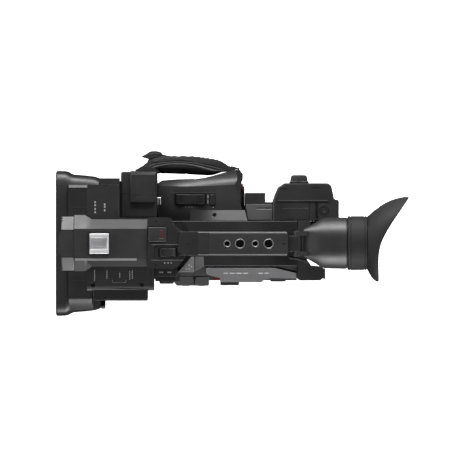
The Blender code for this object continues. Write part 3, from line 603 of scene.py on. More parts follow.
def top_front():
    low, high = span("spine_cover")
    top = high.z
    shoe_low, shoe_high = span("accessory_shoe")
    nose_x, front_x, seam_x = low.x, low.x + 16, low.x + 29
    section = [(-24.3, low.z), (-24.3, top - 15), (-16.2, top), (15.6, top), (25.5, top - 11),
        (25.5, low.z)]
    front = [(-29, low.z), (-29, top - 14.5), (-16.2, top - 0.5), (15.6, top - 0.5), (30, top - 12),
        (30, low.z)]
    flare = loft([[(seam_x + 5.5, y, z) for y, z in section], [(seam_x - 2, *p) for p in front],
            [(front_x, *p) for p in front]])
    nose = [(nose_x, -10), (nose_x + 3, -13.7), (front_x + 1, -13.7), (front_x + 1, 13.7),
        (nose_x + 3, 13.7), (nose_x, 10)]
    bed = plate(rounded((shoe_low.x - 2.6, shoe_low.y - 2.4), (shoe_high.x + 1.4, shoe_high.y + 2.4), 2.0),
        "Z", top - 0.7, top + 1)
    line = plate(rounded((front_x + 3, -16.6), (high.x - 10, -16.1), 0.2, 1), "Z", top - 3, top + 1)
    skin("spine_cover", "body_plastic", bevel=0.7, shape=plate(section, "X", seam_x, high.x),
        joins=[flare, plate(nose, "Z", low.z, top - 1.5)], cuts=[bed, line], limit=12.0)
    trim("spine_stripe", "pale_paint", plate([(-15.3, top - 0.3), (-15.3, top + 0.08), (-16.5, top + 0.08),
            (-17.8, top - 2.3), (-17.2, top - 2.6)], "X", front_x + 1, high.x - 11))
    skin("accessory_shoe", "bright_metal", bevel=0.25)
    add("shoe_spring", "bright_metal", plate(rounded((shoe_low.x + 3, -3.4), (shoe_high.x - 4.4, 3.4), 1.2),
            "Z", shoe_low.z + 1.4, shoe_low.z + 2.0), bevel=0.2)

    low, high = span("mic_grille")
    slots = []
    for side in (1, -1):
        inner, outer = sorted((15.6 * side, 27.1 * side))
        for i in range(7):
            z = low.z + 4.4 + 1.7 * i
            slots.append(block((low.x - 2, inner, z), (low.x + 1.6, outer, z + 0.8)))
    skin("mic_grille", "grille", bevel=0.5, cuts=slots)
    for x in (low.x + 0.2, high.x + 0.3):
        trim(f"nose_line_{abs(x):.0f}", "grey_paint", block((x, -13.0, high.z - 1.0),
                (x + 0.6, 13.0, high.z + 0.1)))

    low, high = span("lcd_bay")
    top = high.z
    steep = plate([(-49.45, top - 8), (-49.45, top - 5.9), (-45.4, top), (-42, top), (-42, top - 8)], "X",
        low.x, high.x)
    holes = [lathe([(0, top + 2), (2.4, top + 2), (2.4, top - 1.4), (0, top - 1.4)], "Z", (x, -43.6, 0), 28)
        for x in (low.x + 6, high.x - 13)]
    holes += [block((high.x - 3.4, -60, top - 0.6), (high.x - 2.8, -25, top + 1)),
        block((low.x - 1, 60.6, top - 0.9), (high.x, 61.2, top + 1)),
        block((low.x + 3.5, 30.8, top - 0.5), (-91, 31.2, top + 1))]
    skin("lcd_bay", "body_plastic", bevel=0.7, cuts=holes, joins=[steep], limit=25.0)
    for i, x in enumerate((low.x + 6, high.x - 13)):
        screw(f"bay_screw_{i}", "Z", (x, -43.6, top - 1.3), 2.1)
    for i, (x, y0, y1) in enumerate(((-116, -39, -27), (-103, -37, -27), (-89.5, -36, -29), (-79, -38, -27),
            (-76.3, -37, -27.5))):
        pitch = 1.9
        for k in range(int((y1 - y0) / pitch)):
            mark(f"bay_mark_{i}_{k}", (x - 0.55, y0 + pitch * k), (x + 0.35, y0 + pitch * k + 1.35), top,
                tall=0.08)
    for i, (p, q) in enumerate((((-97.5, -41.2), (-83, -40.8)), ((-97.7, -41.2), (-97.3, -38)),
            ((-83.2, -41.2), (-82.8, -38)))):
        mark(f"bay_bracket_{i}", p, q, top, tall=0.08)
    for i, (x, y) in enumerate(((-116.2, 32), (-116.2, 35.4), (-116.2, 39.4), (-116.2, 42.6), (-106.2, 34),
            (-106.2, 37.6), (-106.2, 40.2))):
        mark(f"side_mark_{i}", (x, y), (x + 1.5, y + 2.0), top, tall=0.08)

    add("bay_bridge", "dark_plastic", block((-92, 27.6, 130), (-88, 66, low.z + 10)), bevel=0.4)
    low, high = span("lcd_housing")
    rim = [block((low.x - 1, low.y + 3.0, high.z - 0.7), (high.x + 1, low.y + 3.6, high.z + 1)),
        plate(rounded((low.x + 5, low.y + 8), (high.x - 5, high.y - 6), 1.5), "Z", low.z - 1, low.z + 0.8)]
    skin("lcd_housing", "dark_plastic", bevel=1.5, cuts=rim)
    trim("lcd_glass", "coated_glass", plate(rounded((low.x + 5.3, low.y + 8.3),
            (high.x - 5.3, high.y - 6.3), 1.2), "Z", low.z + 0.25, low.z + 1.0), body="monitor")
    trim("lcd_grip", "rubber", merged([block((low.x + 20 + 2.2 * i, low.y - 0.0, low.z + 4),
            (low.x + 21 + 2.2 * i, low.y + 0.7, high.z - 4)) for i in range(9)]), body="monitor")


def audio_block():
    low, high = span("xlr_block")
    socket_low, socket_high = span("xlr_socket")
    centre = (0, (socket_low.y + socket_high.y) / 2, (socket_low.z + socket_high.z) / 2)
    step = high.z - 4
    lid = -79
    cuts = [block((low.x + 1.5, 52.4, step - 0.7), (lid - 1.0, 52.9, step + 1)),
        block((low.x + 12, high.y - 0.6, low.z + 8), (low.x + 12.6, high.y + 1, step - 8)),
        block((low.x - 1, low.y - 1, step - 12.6), (high.x + 1, high.y + 1, step - 12.1))]
    cuts += [block((lid + 1, y - 0.25, high.z - 0.5), (high.x - 1, y + 0.25, high.z + 1))
        for y in (51.0, 71.6)]
    skin("xlr_block", "body_plastic", bevel=0.5, cuts=cuts)
    for i in range(5):
        trim(f"xlr_vent_{i}", "dark_plastic", plate(rounded((low.x + 16 + 3.6 * i, low.z + 10),
                (low.x + 17.6 + 3.6 * i, low.z + 30), 0.8), "Y", high.y - 1, high.y + 0.05))
    trim("xlr_collar", "steel", hoop(8.6, 10.3, "X", centre, socket_high.x - 3.2, socket_high.x + 0.4, 0.2))
    pins = []
    for angle in (90, 210, 330):
        a = math.radians(angle)
        pins.append(lathe([(0, socket_high.x - 3.4), (1.1, socket_high.x - 3.9), (1.1, socket_high.x - 5.9),
                (0, socket_high.x - 5.9)], "X", (0, centre[1] + 4.4 * math.cos(a),
                centre[2] + 4.4 * math.sin(a)), 16))
    skin("xlr_socket", "dark_plastic", bevel=0.3)
    trim("xlr_contacts", "bright_metal", merged(pins))
    low, high = span("xlr_release")
    skin("xlr_release", "bright_metal", sharp=30.0,
        cuts=[block((low.x + 1.1, low.y - 1, low.z - 1), (high.x - 1.1, high.y - 1.5, high.z + 1))])


# ---------------------------------------------------------------- handle

def handle():
    low, high = span("handle_head")
    top = high.z
    button_low, button_high = span("handle_rec_button")
    rocker_low, rocker_high = span("handle_zoom_rocker")
    outline = [(low.x, -26), (low.x + 28, -26.5), (low.x + 33, -22), (-20.0, -13.5), (-20.0, 13.5),
        (-25, 13.5), (-30, 17), (-36, 27.5), (low.x, 27.5)]
    pockets = [block((button_low.x - 0.5, button_low.y - 0.5, top - 3),
            (button_high.x + 0.5, button_high.y + 0.5, top + 2)),
        block((rocker_low.x - 1.2, rocker_low.y - 0.75, top - 5),
            (rocker_high.x + 1.2, rocker_high.y + 0.75, top + 2))]
    frame_outer = rounded((rocker_low.x - 5.4, rocker_low.y - 3.4),
        (rocker_high.x + 6.6, rocker_high.y + 3.4), 4.2, 6)
    groove = plate(frame_outer, "Z", top - 1.0, top + 1)
    edge_cut = above((-36, 27.5, top - 0.4), (-30, 17, top - 0.4), (-24, 24, top - 9))
    skin("handle_head", "dark_plastic", bevel=1.1, shape=plate(softened(outline, 3.0), "Z", low.z, top),
        cuts=pockets + [groove, edge_cut], edges=1.5, limit=40.0)
    inner = rounded((rocker_low.x - 4.6, rocker_low.y - 2.6), (rocker_high.x + 5.8, rocker_high.y + 2.6),
        3.4, 6)
    hole = block((rocker_low.x - 1.1, rocker_low.y - 0.7, top - 3),
        (rocker_high.x + 1.1, rocker_high.y + 0.7, top + 1))
    add("rocker_bed", "dark_plastic", plate(inner, "Z", top - 1.6, top - 0.5), cuts=[hole], bevel=0.25)
    for i, y in enumerate((rocker_high.y + 3.7, rocker_low.y - 4.1)):
        trim(f"rocker_line_{i}", "pale_paint", plate(rounded((rocker_low.x - 8.4, y),
                (rocker_high.x + 7, y + 0.45), 0.15, 1), "Z", top - 0.3, top + 0.08))
    for i, x in enumerate((-42, -38.4, -35)):
        trim(f"head_dot_{i}", "print", disc(0.55, "Z", (x, -20.3, 0), top - 0.1, top + 0.08, 0.05, 12))
    skin("handle_rec_button", "body_plastic", bevel=0.3,
        cuts=[plate(rounded((button_high.x - 8.0, button_low.y + 3.4),
            (button_high.x - 2.6, button_high.y - 2.8), 1), "Z", button_high.z - 0.5, button_high.z + 1)])
    trim("rec_patch", "dull_red", plate(rounded((button_high.x - 7.8, button_low.y + 3.6),
            (button_high.x - 2.8, button_high.y - 3.0), 0.9), "Z", button_high.z - 0.7,
            button_high.z - 0.25), body="handle_record")
    ribs = [block((rocker_low.x + 1.6 + 1.7 * i, rocker_low.y + 0.9, rocker_high.z - 1.6),
            (rocker_low.x + 2.2 + 1.7 * i, rocker_high.y - 0.9, rocker_high.z + 1))
        for i in (0, 1, 2, 7, 8, 9)]
    skin("handle_zoom_rocker", "dark_plastic", cuts=ribs)
    for i, y in enumerate((high.y - 3.6, low.y + 4.2)):
        screw(f"head_screw_{i}", "Z", (low.x + 9.2, y, top + 0.02), 1.7)

    low, high = span("handle_cover")
    cuts = [block((low.x - 1, low.y - 0.5, low.z + 1.5), (high.x + 1, low.y + 0.4, low.z + 2.1)),
        block((low.x - 1, high.y - 0.4, low.z + 1.5), (high.x + 1, high.y + 0.5, low.z + 2.1))]
    skin("handle_cover", "body_plastic", cuts=cuts, edges=0.0)
    add("handle_neck", "dark_plastic", plate(softened([(low.x - 9, -8), (low.x - 4, low.y + 1.2),
            (low.x + 13, low.y + 0.6), (low.x + 13, high.y - 0.6), (low.x - 4, high.y - 0.6),
            (low.x - 7, high.y - 3)], 1.5), "Z", top - 1.0, high.z + 0.2), bevel=0.45, edges=0.9)
    add("handle_band", "rubber", plate(rounded((low.x + 13.2, low.y + 1.6), (low.x + 24.4, high.y - 1.6),
            0.5), "Z", top - 1.0, high.z + 0.18), bevel=0.2, edges=0.2)
    for i, side in enumerate((1, -1)):
        add(f"neck_side_{i}", "body_plastic", plate([(low.x - 6.4, side * 11.0), (low.x + 3.4, side * 11.0),
                (low.x + 3.4, side * 12.4), (low.x - 6.4, side * 13.0)], "Z", top - 2.0, high.z - 0.6),
            bevel=0.6)
    for i, x in enumerate((low.x + 2.7, high.x - 5)):
        screw(f"cover_screw_{i}", "Z", (x, 0, high.z + 0.2 - 0.12 * i), 1.6)
    plate_start = span("thread_plate")[0].x
    for i, (offset, bore) in enumerate(((5.5, 3.0), (19, 4.6), (35, 3.0), (49, 4.6))):
        centre = (plate_start + offset, 0, 0)
        trim(f"socket_rim_{i}", "steel", hoop(bore - 0.3, bore + 0.55, "Z", centre, high.z - 4,
                high.z + 0.3, 0.2))
        trim(f"socket_seat_{i}", "dark_plastic", hoop(bore + 0.6, bore + 1.3, "Z", centre, high.z - 4,
                high.z + 0.12, 0.1))
        threads = [(bore + 0.4, high.z - 0.4)]
        for k in range(9):
            threads += [(bore - 0.35, high.z - 0.9 - k), (bore + 0.05, high.z - 1.4 - k)]
        threads += [(bore + 0.4, high.z - 10)]
        trim(f"socket_thread_{i}", "dark_plastic", lathe(threads, "Z", centre, 40, closed=True))
        trim(f"socket_floor_{i}", "dark_plastic", disc(bore + 0.6, "Z", centre, high.z - 11, high.z - 10))
    dress("thread_plate", "steel")
    low, high = span("handle_frame")
    pads = []
    for i in range(11):
        x = low.x + 52 + 6.5 * i
        pads.append(block((x, low.y - 1, 192.5), (x + 0.9, low.y + 0.5, 198)))
        pads.append(block((x, high.y - 0.5, 192.5), (x + 0.9, high.y + 1, 198)))
    skin("handle_frame", "rubber", cuts=pads, edges=1.2)


# ---------------------------------------------------------------- viewfinder

def viewfinder():
    low, high = span("evf_housing")
    ring_low, ring_high = span("evf_ring")
    _, y, z = middle("evf_ring")

    def section(x, half_y, half_z, flat):
        """A box with wide sloping shoulders, above and below."""
        drop = (half_y - flat) * 0.92
        quarter = [(flat, half_z), (half_y, half_z - drop)]
        points = [(a, b) for a, b in quarter] + [(a, -b) for a, b in quarter[::-1]]
        points += [(-a, -b) for a, b in quarter] + [(-a, b) for a, b in quarter[::-1]]
        return [(x, y + a, z + b) for a, b in softened(points, 9.0, 7)]

    front = 104.0
    half = (high.y - low.y) / 2
    rings = [section(front, 14.4, 20.0, 13.0), section(front + 13, 21.6, 24.6, 12.8),
        section(front + 17, 24.4, 25.6, 12.8), section(front + 21, half - 0.9, 26.0, 12.8),
        section(front + 28, half - 0.3, 26.0, 12.8), section(high.x - 3.5, half, 26.0, 12.8),
        section(high.x - 1.2, half - 0.1, 25.9, 12.8), section(high.x, half - 1.0, 25.0, 12.3)]
    pin_x, pin_z = 97.0, 203.0
    arms = []
    for side in (1, -1):
        inner, outer = sorted((8.3 * side, 13 * side))
        points = [(pin_x + 11, 205), (pin_x, 208)]
        points += [(pin_x + 5 * math.cos(a), pin_z + 5 * math.sin(a))
            for a in (math.radians(90 + 15 * i) for i in range(1, 13))]
        points += [(pin_x + 13, 193.5)]
        arms.append(plate(points, "Y", inner, outer))
    bores = [lathe([(0, 20), (2.1, 20), (2.1, -20), (0, -20)], "Y", (pin_x, 0, pin_z), 24)]
    skin("evf_housing", "body_plastic", bevel=0.6, shape=loft(rings), joins=arms, cuts=bores, limit=40.0,
        edges=0.3, sharp=30.0)
    for side in (1, -1):
        add(f"evf_side_panel_{side + 1}", "dark_plastic",
            plate(rounded((front + 22, z - 10), (high.x - 6, z + 6), 3), "Y",
                *sorted((y + side * 25.4, y + side * 26.6))), body="viewfinder", bevel=0.3)
        screw(f"evf_pin_screw_{side + 1}", "Y", (pin_x, 13.1 * side, pin_z), 2.4, side, "steel",
            body="viewfinder")
    trim("evf_step", "dark_plastic", loft([section(high.x - 0.6, 24.4, 24.2, 12.0),
            section(high.x + 0.4, 24.4, 24.2, 12.0)]), body="viewfinder")

    radius = (ring_high.z - ring_low.z) / 2
    a, b = ring_low.x, ring_high.x
    profile = [(21, a), (radius - 1, a), (radius, a + 1), (radius, a + 2.6), (radius - 0.5, a + 2.9),
        (radius - 0.5, a + 3.5), (radius, a + 3.8), (radius, b - 3.4), (radius - 0.5, b - 3.1),
        (radius - 0.5, b - 2.4), (radius, b - 2.1), (radius, b - 1), (radius - 1, b), (21, b)]
    skin("evf_ring", "rubber", shape=lathe(profile, "X", (0, y, z), 112, closed=True), edges=0.0,
        sharp=30.0)
    low, high = span("eyepiece_lens")
    glass = [(0, high.x - 1.4), (12, high.x - 0.6), (20.5, high.x), (20.5, low.x + 1), (0, low.x)]
    skin("eyepiece_lens", "coated_glass", shape=lathe(glass, "X", (0, y, z), 72), edges=0.0, sharp=50.0)
    trim("eyepiece_bezel", "dark_plastic", lathe([(21.2, b - 0.3), (15.5, b - 3.5), (14.5, b - 7),
            (14.5, b - 7.4), (21.2, b - 7.4)], "X", (0, y, z), 72, closed=True), body="viewfinder",
        sharp=30.0)
    low, high = span("diopter_dial")
    skin("diopter_dial", "dark_plastic", shape=lathe([(0, low.z), (5.5, low.z), (6, low.z + 0.5),
            (6, high.z), (0, high.z)], "Z", ((low.x + high.x) / 2, y, 0), teeth=(30, 0.35, 5.9)), edges=0.0)
    dress("evf_hinge_pin", "steel")
    low, high = span("evf_hinge_block")
    skin("evf_hinge_block", "dark_plastic", bevel=0.9, edges=1.6)
    trim("evf_cable", "rubber", tube(smooth([(high.x - 14, -14.5, 199.5), (high.x - 8, -15.2, 198.5),
            (high.x - 2, -16.5, 196), (high.x + 3, -18.0, 190), (high.x + 5.0, -19.0, 180),
            (high.x + 5.5, -19.5, 168), (high.x + 5.5, -20.0, 151)], 5), 1.6, 14))


def eyecup():
    ring_low, ring_high = span("evf_ring")
    _, y, z = middle("evf_ring")
    base_x = span("eyecup")[0].x
    start = (ring_high.z - ring_low.z) / 2
    count, rows, wall = 96, 14, 2.0
    outer_rows = [[] for _ in range(rows)]
    inner_rows = [[] for _ in range(rows)]
    for i in range(count):
        angle = 2 * math.pi * (i + 0.5) / count
        c, s = math.cos(angle), math.sin(angle)
        rim_x = 185.2 + 11.6 * c + 14.0 * c * c + 4.4 * c ** 3
        rim_r = 33.4 + 4 * c + 11.6 * c * c
        for row in range(rows):
            t = row / (rows - 1)
            x = base_x + (rim_x - base_x) * t
            r = start + (rim_r - start) * (1 - (1 - t) ** 2)
            fold = 0.55 if row in (1, 3) else 0.0
            lip = 0.5 if row == rows - 1 else 0.0
            outer_rows[row].append((x, y + (r - fold - lip) * c, z + (r - fold - lip) * s))
            r = r - wall - 1.5 * (1 - t)
            inner_rows[row].append((x - lip * 0.6, y + (r + lip) * c, z + (r + lip) * s))
    skin("eyecup", "rubber", shape=loft(outer_rows + inner_rows[::-1], closed=True), edges=0.0, sharp=60.0)


# ---------------------------------------------------------------- grip side

def grip():
    low, high = span("grip_shell")
    top = high.z
    rocker_low, rocker_high = span("grip_zoom_rocker")
    red_low, red_high = span("grip_rec_button")
    ledge = []
    for x, inner, drop in ((-52, 61.2, 0.5), (-36, 60.9, 1.6), (-22, 60.6, 3.2), (3, 61.1, 6.0),
            (31, 62.6, 9.0), (50, 63.6, 9.0)):
        ledge.append([(x, inner, top + 2), (x, inner, top), (x, inner + 1.8, top - 0.34 * drop),
                (x, inner + 4.2, top - 0.66 * drop), (x, inner + 7.5, top - 0.88 * drop),
                (x, inner + 12, top - drop), (x, 90, top - 1.1 * drop), (x, 90, top + 2)])
    cuts = [loft(ledge), above((31, 63, top - 0.2), (42.5, 25, top - 0.2), (39, 66, top - 13)),
        plate([(rocker_low.x - 4.2, 55.4), (rocker_high.x + 11.4, 55.4), (rocker_high.x + 11.4, 55.8),
            (rocker_low.x - 4.2, 55.8)], "Z", top - 0.5, top + 1)]
    skin("grip_shell", "body_plastic", bevel=0.7, cuts=cuts, edges=0.8, limit=30.0, sharp=30.0)
    add("grip_back", "dark_plastic", block((37.5, 27, 40), (42.0, 61, 108)), bevel=0.8)
    ribs = []
    for i in range(13):
        z = 36 + 6.2 * i
        ribs.append(plate(softened([(-40, 67.2), (-29, 67.9), (-12, 68.25), (-12, 68.95), (-29, 68.6),
                (-40, 67.9)], 0.3, 1), "Z", z, z + 2.2))
    trim("grip_ribs", "rubber", merged(ribs))
    add("rocker_frame", "dark_plastic", plate(rounded((rocker_low.x - 2.2, rocker_low.y - 1.6),
            (rocker_high.x + 10.1, rocker_high.y + 1.6), 1.2), "Z", top - 4.3, top + 0.25),
        cuts=[block((rocker_low.x - 0.6, rocker_low.y - 0.5, top - 6),
            (rocker_high.x + 0.6, rocker_high.y + 0.5, top + 2)),
            block((rocker_high.x + 4.6, rocker_low.y - 1.3, top - 6),
            (rocker_high.x + 10.2, rocker_high.y + 0.3, top + 2))], bevel=0.3)
    ribs = [block((rocker_low.x + 2 + 1.8 * i, rocker_low.y + 1, rocker_high.z - 1.7),
            (rocker_low.x + 2.7 + 1.8 * i, rocker_high.y - 1, rocker_high.z + 1))
        for i in (0, 1, 2, 3, 4, 11, 12, 13, 14, 15)]
    skin("grip_zoom_rocker", "dark_plastic", cuts=ribs)
    skin("grip_button", "dark_plastic")
    x, y, z = (red_low + red_high) / 2
    skin("grip_rec_button", "record_red", shape=lathe([(0, red_high.x - 0.7), (2.6, red_high.x - 0.35),
            (3.6, red_high.x), (4.6, red_high.x - 0.5), (4.6, red_low.x), (0, red_low.x)], "X", (0, y, z),
            40), edges=0.0)
    trim("rec_button_rim", "dark_plastic", hoop(5.1, 6.6, "X", (0, y, z), 38 - 0.5, 38 + 0.9, 0.4))

    ends = [plate([(46.2, 20), (41, 40), (60, 40), (60, 20)], "Z", top - 2, top + 20),
        lathe([(0, 20), (2.1, 20), (2.1, 1.2), (0, 1.2)], "Z", (10, 30.5, top), 28)]
    rings = [[(x, 24.4, top - 0.5), (x, 24.4, top + tall), (x, 35.4, top + min(tall, 0.6)),
            (x, 35.4, top - 0.5)] for x, tall in ((-16, 0.3), (-8, 1.3), (0, 3.2), (8, 4.8), (16, 5.6),
            (46, 6.0))]
    add("grip_shoulder", "body_plastic", loft(rings), cuts=ends, bevel=0.6, sharp=40.0)
    trim("grip_corner", "dark_plastic", block((41, 24.6, 40), (47, 40, 104)))
    for i, (y0, y1) in enumerate(((42.4, 46.4), (48.0, 51.8))):
        mark(f"grip_bar_{i}", (rocker_high.x + 1.8, y0), (rocker_high.x + 3.2, y1), top + 0.2, "pale_paint",
            0.1)
    trim("rocker_line", "grey_paint", plate(rounded((rocker_low.x - 5, rocker_high.y + 2.2),
            (rocker_high.x + 11, rocker_high.y + 2.6), 0.15, 1), "Z", top - 0.3, top + 0.06))
    add("grip_root", "dark_plastic", block((low.x - 8, 26, 50), (low.x + 2, 64.5, 122)), bevel=0.8)
    screw("grip_screw", "Z", (10, 30.5, top + 1.3), 1.9)
    for i, x in enumerate((-20.5, -17.0, -14.0)):
        trim(f"grip_dot_{i}", "grey_paint", disc(0.7, "Z", (x, 38.5, 0), top - 0.1, top + 0.15, 0.1, 14))
    mark("grip_tick", (8.0, 38), (9.2, 39), top)


def line_at(points, t):
    """A point and its sideways direction at a share of a line's length."""
    spot = t * (len(points) - 1)
    i = min(int(spot), len(points) - 2)
    a, b = Vector(points[i]), Vector(points[i + 1])
    along = (b - a).normalized()
    return a + (b - a) * (spot - i), Vector((-along.y, along.x))


def strap():
    """The padded leather strap: a stuffed pad against the hand and a stitched belt outside it."""
    pad_low, pad_high = span("strap_pad")
    mid_z = (pad_low.z + pad_high.z) / 2
    half = (pad_high.z - pad_low.z) / 2 - 0.4
    seam = [(-66.2, 79.8), (-52.2, 85.0), (-37.6, 86.8), (-27.8, 87.0), (-13.2, 86.1), (1.5, 83.1),
        (11, 80.7), (19.4, 78.4)]
    hand = [(-66.2, 78.2), (-55, 76.3), (-42.5, 76.4), (-27.8, 75.9), (-13.2, 75.2), (1.5, 74.4),
        (11, 74.7), (19.4, 77.4)]
    outer_line, inner_line = smooth(seam, 8), smooth(hand, 8)
    rings = []
    stations = 60
    for k in range(stations + 1):
        t = k / stations
        far, _ = line_at(outer_line, t)
        near, _ = line_at(inner_line, t)
        swell = max(0.0, 1 - abs(2 * t - 1) ** 6) ** 0.5
        channel = 1 - 0.10 * sum(math.exp(-((t - at) / 0.016) ** 2) for at in (0.22, 0.5, 0.78))
        ring = []
        for i in range(40):
            a = 2 * math.pi * i / 40
            c, s = math.cos(a), math.sin(a)
            share = 0.5 + 0.5 * math.copysign(abs(c) ** 0.8, c) * (channel if c > 0 else 1.0)
            point = far + (near - far) * share
            up = (half - 2.5 * (1 - swell)) * math.copysign(abs(s) ** 0.55, s)
            ring.append((point.x, point.y, mid_z + up))
        rings.append(ring)
    pad = skin("strap_pad", "strap_leather", shape=swollen(loft(rings), 1.4), edges=0.0, sharp=80.0)
    trim("strap_piping", "strap_fabric", tube([(x, y - 0.3, mid_z + half * 0.93) for x,
            y in outer_line[2:-2]], 0.85, 10))

    low, high = span("strap_belt")
    bottom, top = low.z + 0.4, high.z - 0.4
    inside = [(-72.9, 76.9), (-67, 80.5)] + [(x, y + 0.7) for x, y in seam[1:]] + [(26.6, 80.0)]
    outside = [(-73.0, 79.4), (-69.8, 81.6), (-66, 83.9), (-62.6, 86.8), (-60.8, 90.1), (-58.5, 92.2),
        (-52, 94.6), (-44.5, 95.0), (-37.6, 93.5), (-13.2, 93.1), (1.5, 91.3), (14, 89.0), (21, 84.3),
        (26.6, 82.6)]
    inner, outer = smooth(inside, 6), smooth(outside, 6)
    shell = plate(outer + inner[::-1], "Z", bottom, top)
    skin("strap_belt", "strap_fabric", bevel=0.8, shape=shell, limit=50.0, edges=1.2)
    for row, height in enumerate((bottom + 2.4, top - 2.4)):
        threads = []
        count = 34
        for k in range(12, count):
            a, _ = line_at(outer, (k + 0.15) / count)
            b, aside = line_at(outer, (k + 0.75) / count)
            a, b = a + aside * 0.02, b + aside * 0.02
            threads.append(tube([(a.x, a.y, height), ((a.x + b.x) / 2, (a.y + b.y) / 2 + 0.18, height),
                    (b.x, b.y, height)], 0.32, 6))
        trim(f"strap_stitch_{row}", "body_plastic", merged(threads))
    ribs = []
    for k in range(16, 56):
        a, _ = line_at(outer, k / 60)
        b, _ = line_at(inner, k / 60)
        a, b = a + (b - a) * 0.16, a + (b - a) * 0.86
        ribs.append(tube([(a.x, a.y, top - 0.1), ((a.x + b.x) / 2 + 0.5, (a.y + b.y) / 2, top + 0.25),
                (b.x + 0.8, b.y, top - 0.1)], 0.5, 6))
    trim("strap_ribs", "strap_fabric", merged(ribs))
    flap = smooth([(-68.2, 92.6), (-66.4, 94.2), (-62.6, 96.2), (-59, 98.4), (-54, 98.9), (-48.8, 98.1),
            (-46, 95.6), (-50, 93.2), (-55, 91.9), (-60, 90.6), (-65.6, 92.0)], 4)
    add("strap_flap", "strap_leather", plate(flap[:-1], "Z", bottom + 1, top + 0.8), bevel=0.7, edges=1.6)
    line = [(p.x, p.y) for p in (line_at(smooth([(-66, 93.2), (-59, 95.6), (-54, 96.6), (-49, 96)], 5),
            k / 20)[0] for k in range(21))]
    trim("flap_seam", "body_plastic", tube([(x, y, top + 0.8) for x, y in line], 0.35, 8))
    wrap = smooth([(13.5, 79.2), (15.5, 87.9), (20.5, 86.0), (25.5, 82.6), (32, 81.0), (37, 77.6),
            (39.9, 72.4), (38.4, 67.0), (35.4, 69.6), (30, 74.0), (24.5, 76.9), (18, 76.6)], 4)
    root = smooth([(-77.6, 74.6), (-76, 77.8), (-70, 81.0), (-64, 82.6), (-57, 81.6), (-50.5, 78.0),
            (-50.2, 76.0), (-56, 74.6)], 4)
    add("strap_root", "strap_leather", plate(root, "Z", pad_low.z + 1, pad_high.z - 1), bevel=0.9,
        edges=0.6)
    add("strap_wrap", "strap_leather", plate(wrap, "Z", bottom + 1.5, top + 0.6), bevel=0.9, edges=1.4)
    trim("wrap_rivet", "steel", disc(2.2, "Z", (33.6, 77.0, 0), top - 0.5, top + 1.3, 0.5))
    skin("strap_anchor_front", "steel", bevel=0.3)
    skin("strap_anchor_rear", "dark_plastic", bevel=0.5)
    low, high = span("strap_anchor_rear")
    trim("strap_ring", "steel", tube([(low.x + 5 + 3.4 * math.cos(a), high.y - 2.6,
            (low.z + high.z) / 2 + 13.4 * math.sin(a)) for a in (2 * math.pi * i / 40 for i in range(41))],
            1.1, 10))


def right_side():
    low, high = span("bridge_block")
    skin("bridge_block", "body_plastic", edges=1.1)
    battery_high = span("battery")[1]
    add("rear_ledge", "dark_plastic", block((98.6, 23.75, 50),
            (battery_high.x - 24, 25.4, battery_high.z - 2)), bevel=0.3)
    trim("side_seam", "dark_plastic", block((-48, 23.6, 40), (97, 24.9, 120)))
    top = high.z
    outline = [(low.x + 1.2, 41.6), (low.x + 3.4, 25), (high.x - 0.2, 25), (high.x - 0.2, 41.6)]
    add("bridge_plate", "grey_paint", plate(outline, "Z", top - 4, top + 1.2),
        cuts=[block((low.x + 13, 36.6, top + 0.2), (low.x + 28, 37.9, top + 2))], bevel=0.9)
    low, high = span("rear_right_housing")
    top = high.z
    x_panel = low.x + 9
    cuts = [plate(rounded((x_panel - 0.4, 25.6), (low.x + 39, 44.4), 0.6), "Z", top - 0.7, top + 1),
        block((low.x + 45, 24, top - 1.0), (low.x + 48, 46, top + 1)),
        block((low.x + 42, 57.8, top - 0.8), (low.x + 50, 59.4, top + 1)),
        block((low.x + 8, 57.4, top - 0.6), (low.x + 16, 58.6, top + 1)),
        block((low.x + 3, 62.7, top - 0.6), (high.x - 6, 63.1, top + 1))]
    for i in range(9):
        z = 62 + 5.2 * i
        cuts.append(plate(rounded((low.x + 21, z), (low.x + 51, z + 2.4), 1.1), "Y", high.y - 6,
                high.y + 1))
    skin("rear_right_housing", "body_plastic", cuts=cuts, edges=1.3)
    inset = plate(rounded((x_panel, 26.1), (low.x + 38.6, 43.9), 0.6), "Z", top - 1.2, top + 0.1)
    add("rear_right_panel", "body_plastic", inset, bevel=0.5,
        cuts=[block((x_panel + 1.5, 37.6, top - 0.4), (low.x + 37, 38.2, top + 1))])
    ridge = plate([(low.x + 5, 45.8), (low.x + 5, 44.4), (low.x + 59, 44.4), (low.x + 59, 45.8)], "Z",
        top - 0.4, top + 0.9)
    add("rear_right_ridge", "body_plastic", ridge, bevel=0.5, edges=1.6)
    trim("rear_right_socket", "dark_plastic", hoop(2.5, 5.6, "Z", (low.x + 54, 36, 0), top - 0.6,
            top + 0.25))
    trim("socket_plug", "dark_plastic", disc(2.6, "Z", (low.x + 54, 36, 0), top - 1.4, top - 0.7))
    knob_low, knob_high = span("rear_knob")
    x, _, z = middle("rear_knob")
    a, b = knob_low.y, knob_high.y
    profile = [(0, a), (10.4, a), (10.4, a + 1.4), (9.4, a + 2.2), (8.4, b - 1.4), (7.2, b - 0.3), (5.2, b),
        (4.6, b - 0.5), (0, b - 0.5)]
    skin("rear_knob", "dark_plastic", shape=lathe(profile, "Y", (x, 0, z), teeth=(36, 0.5, 8.3)), edges=0.0)
    trim("knob_pointer", "grey_paint", block((x - 0.35, b - 0.6, z + 1.2), (x + 0.35, b - 0.25, z + 6.6)),
        body="rear_dial")
    dress("fan_rotor", "dark_plastic")


# ---------------------------------------------------------------- control side

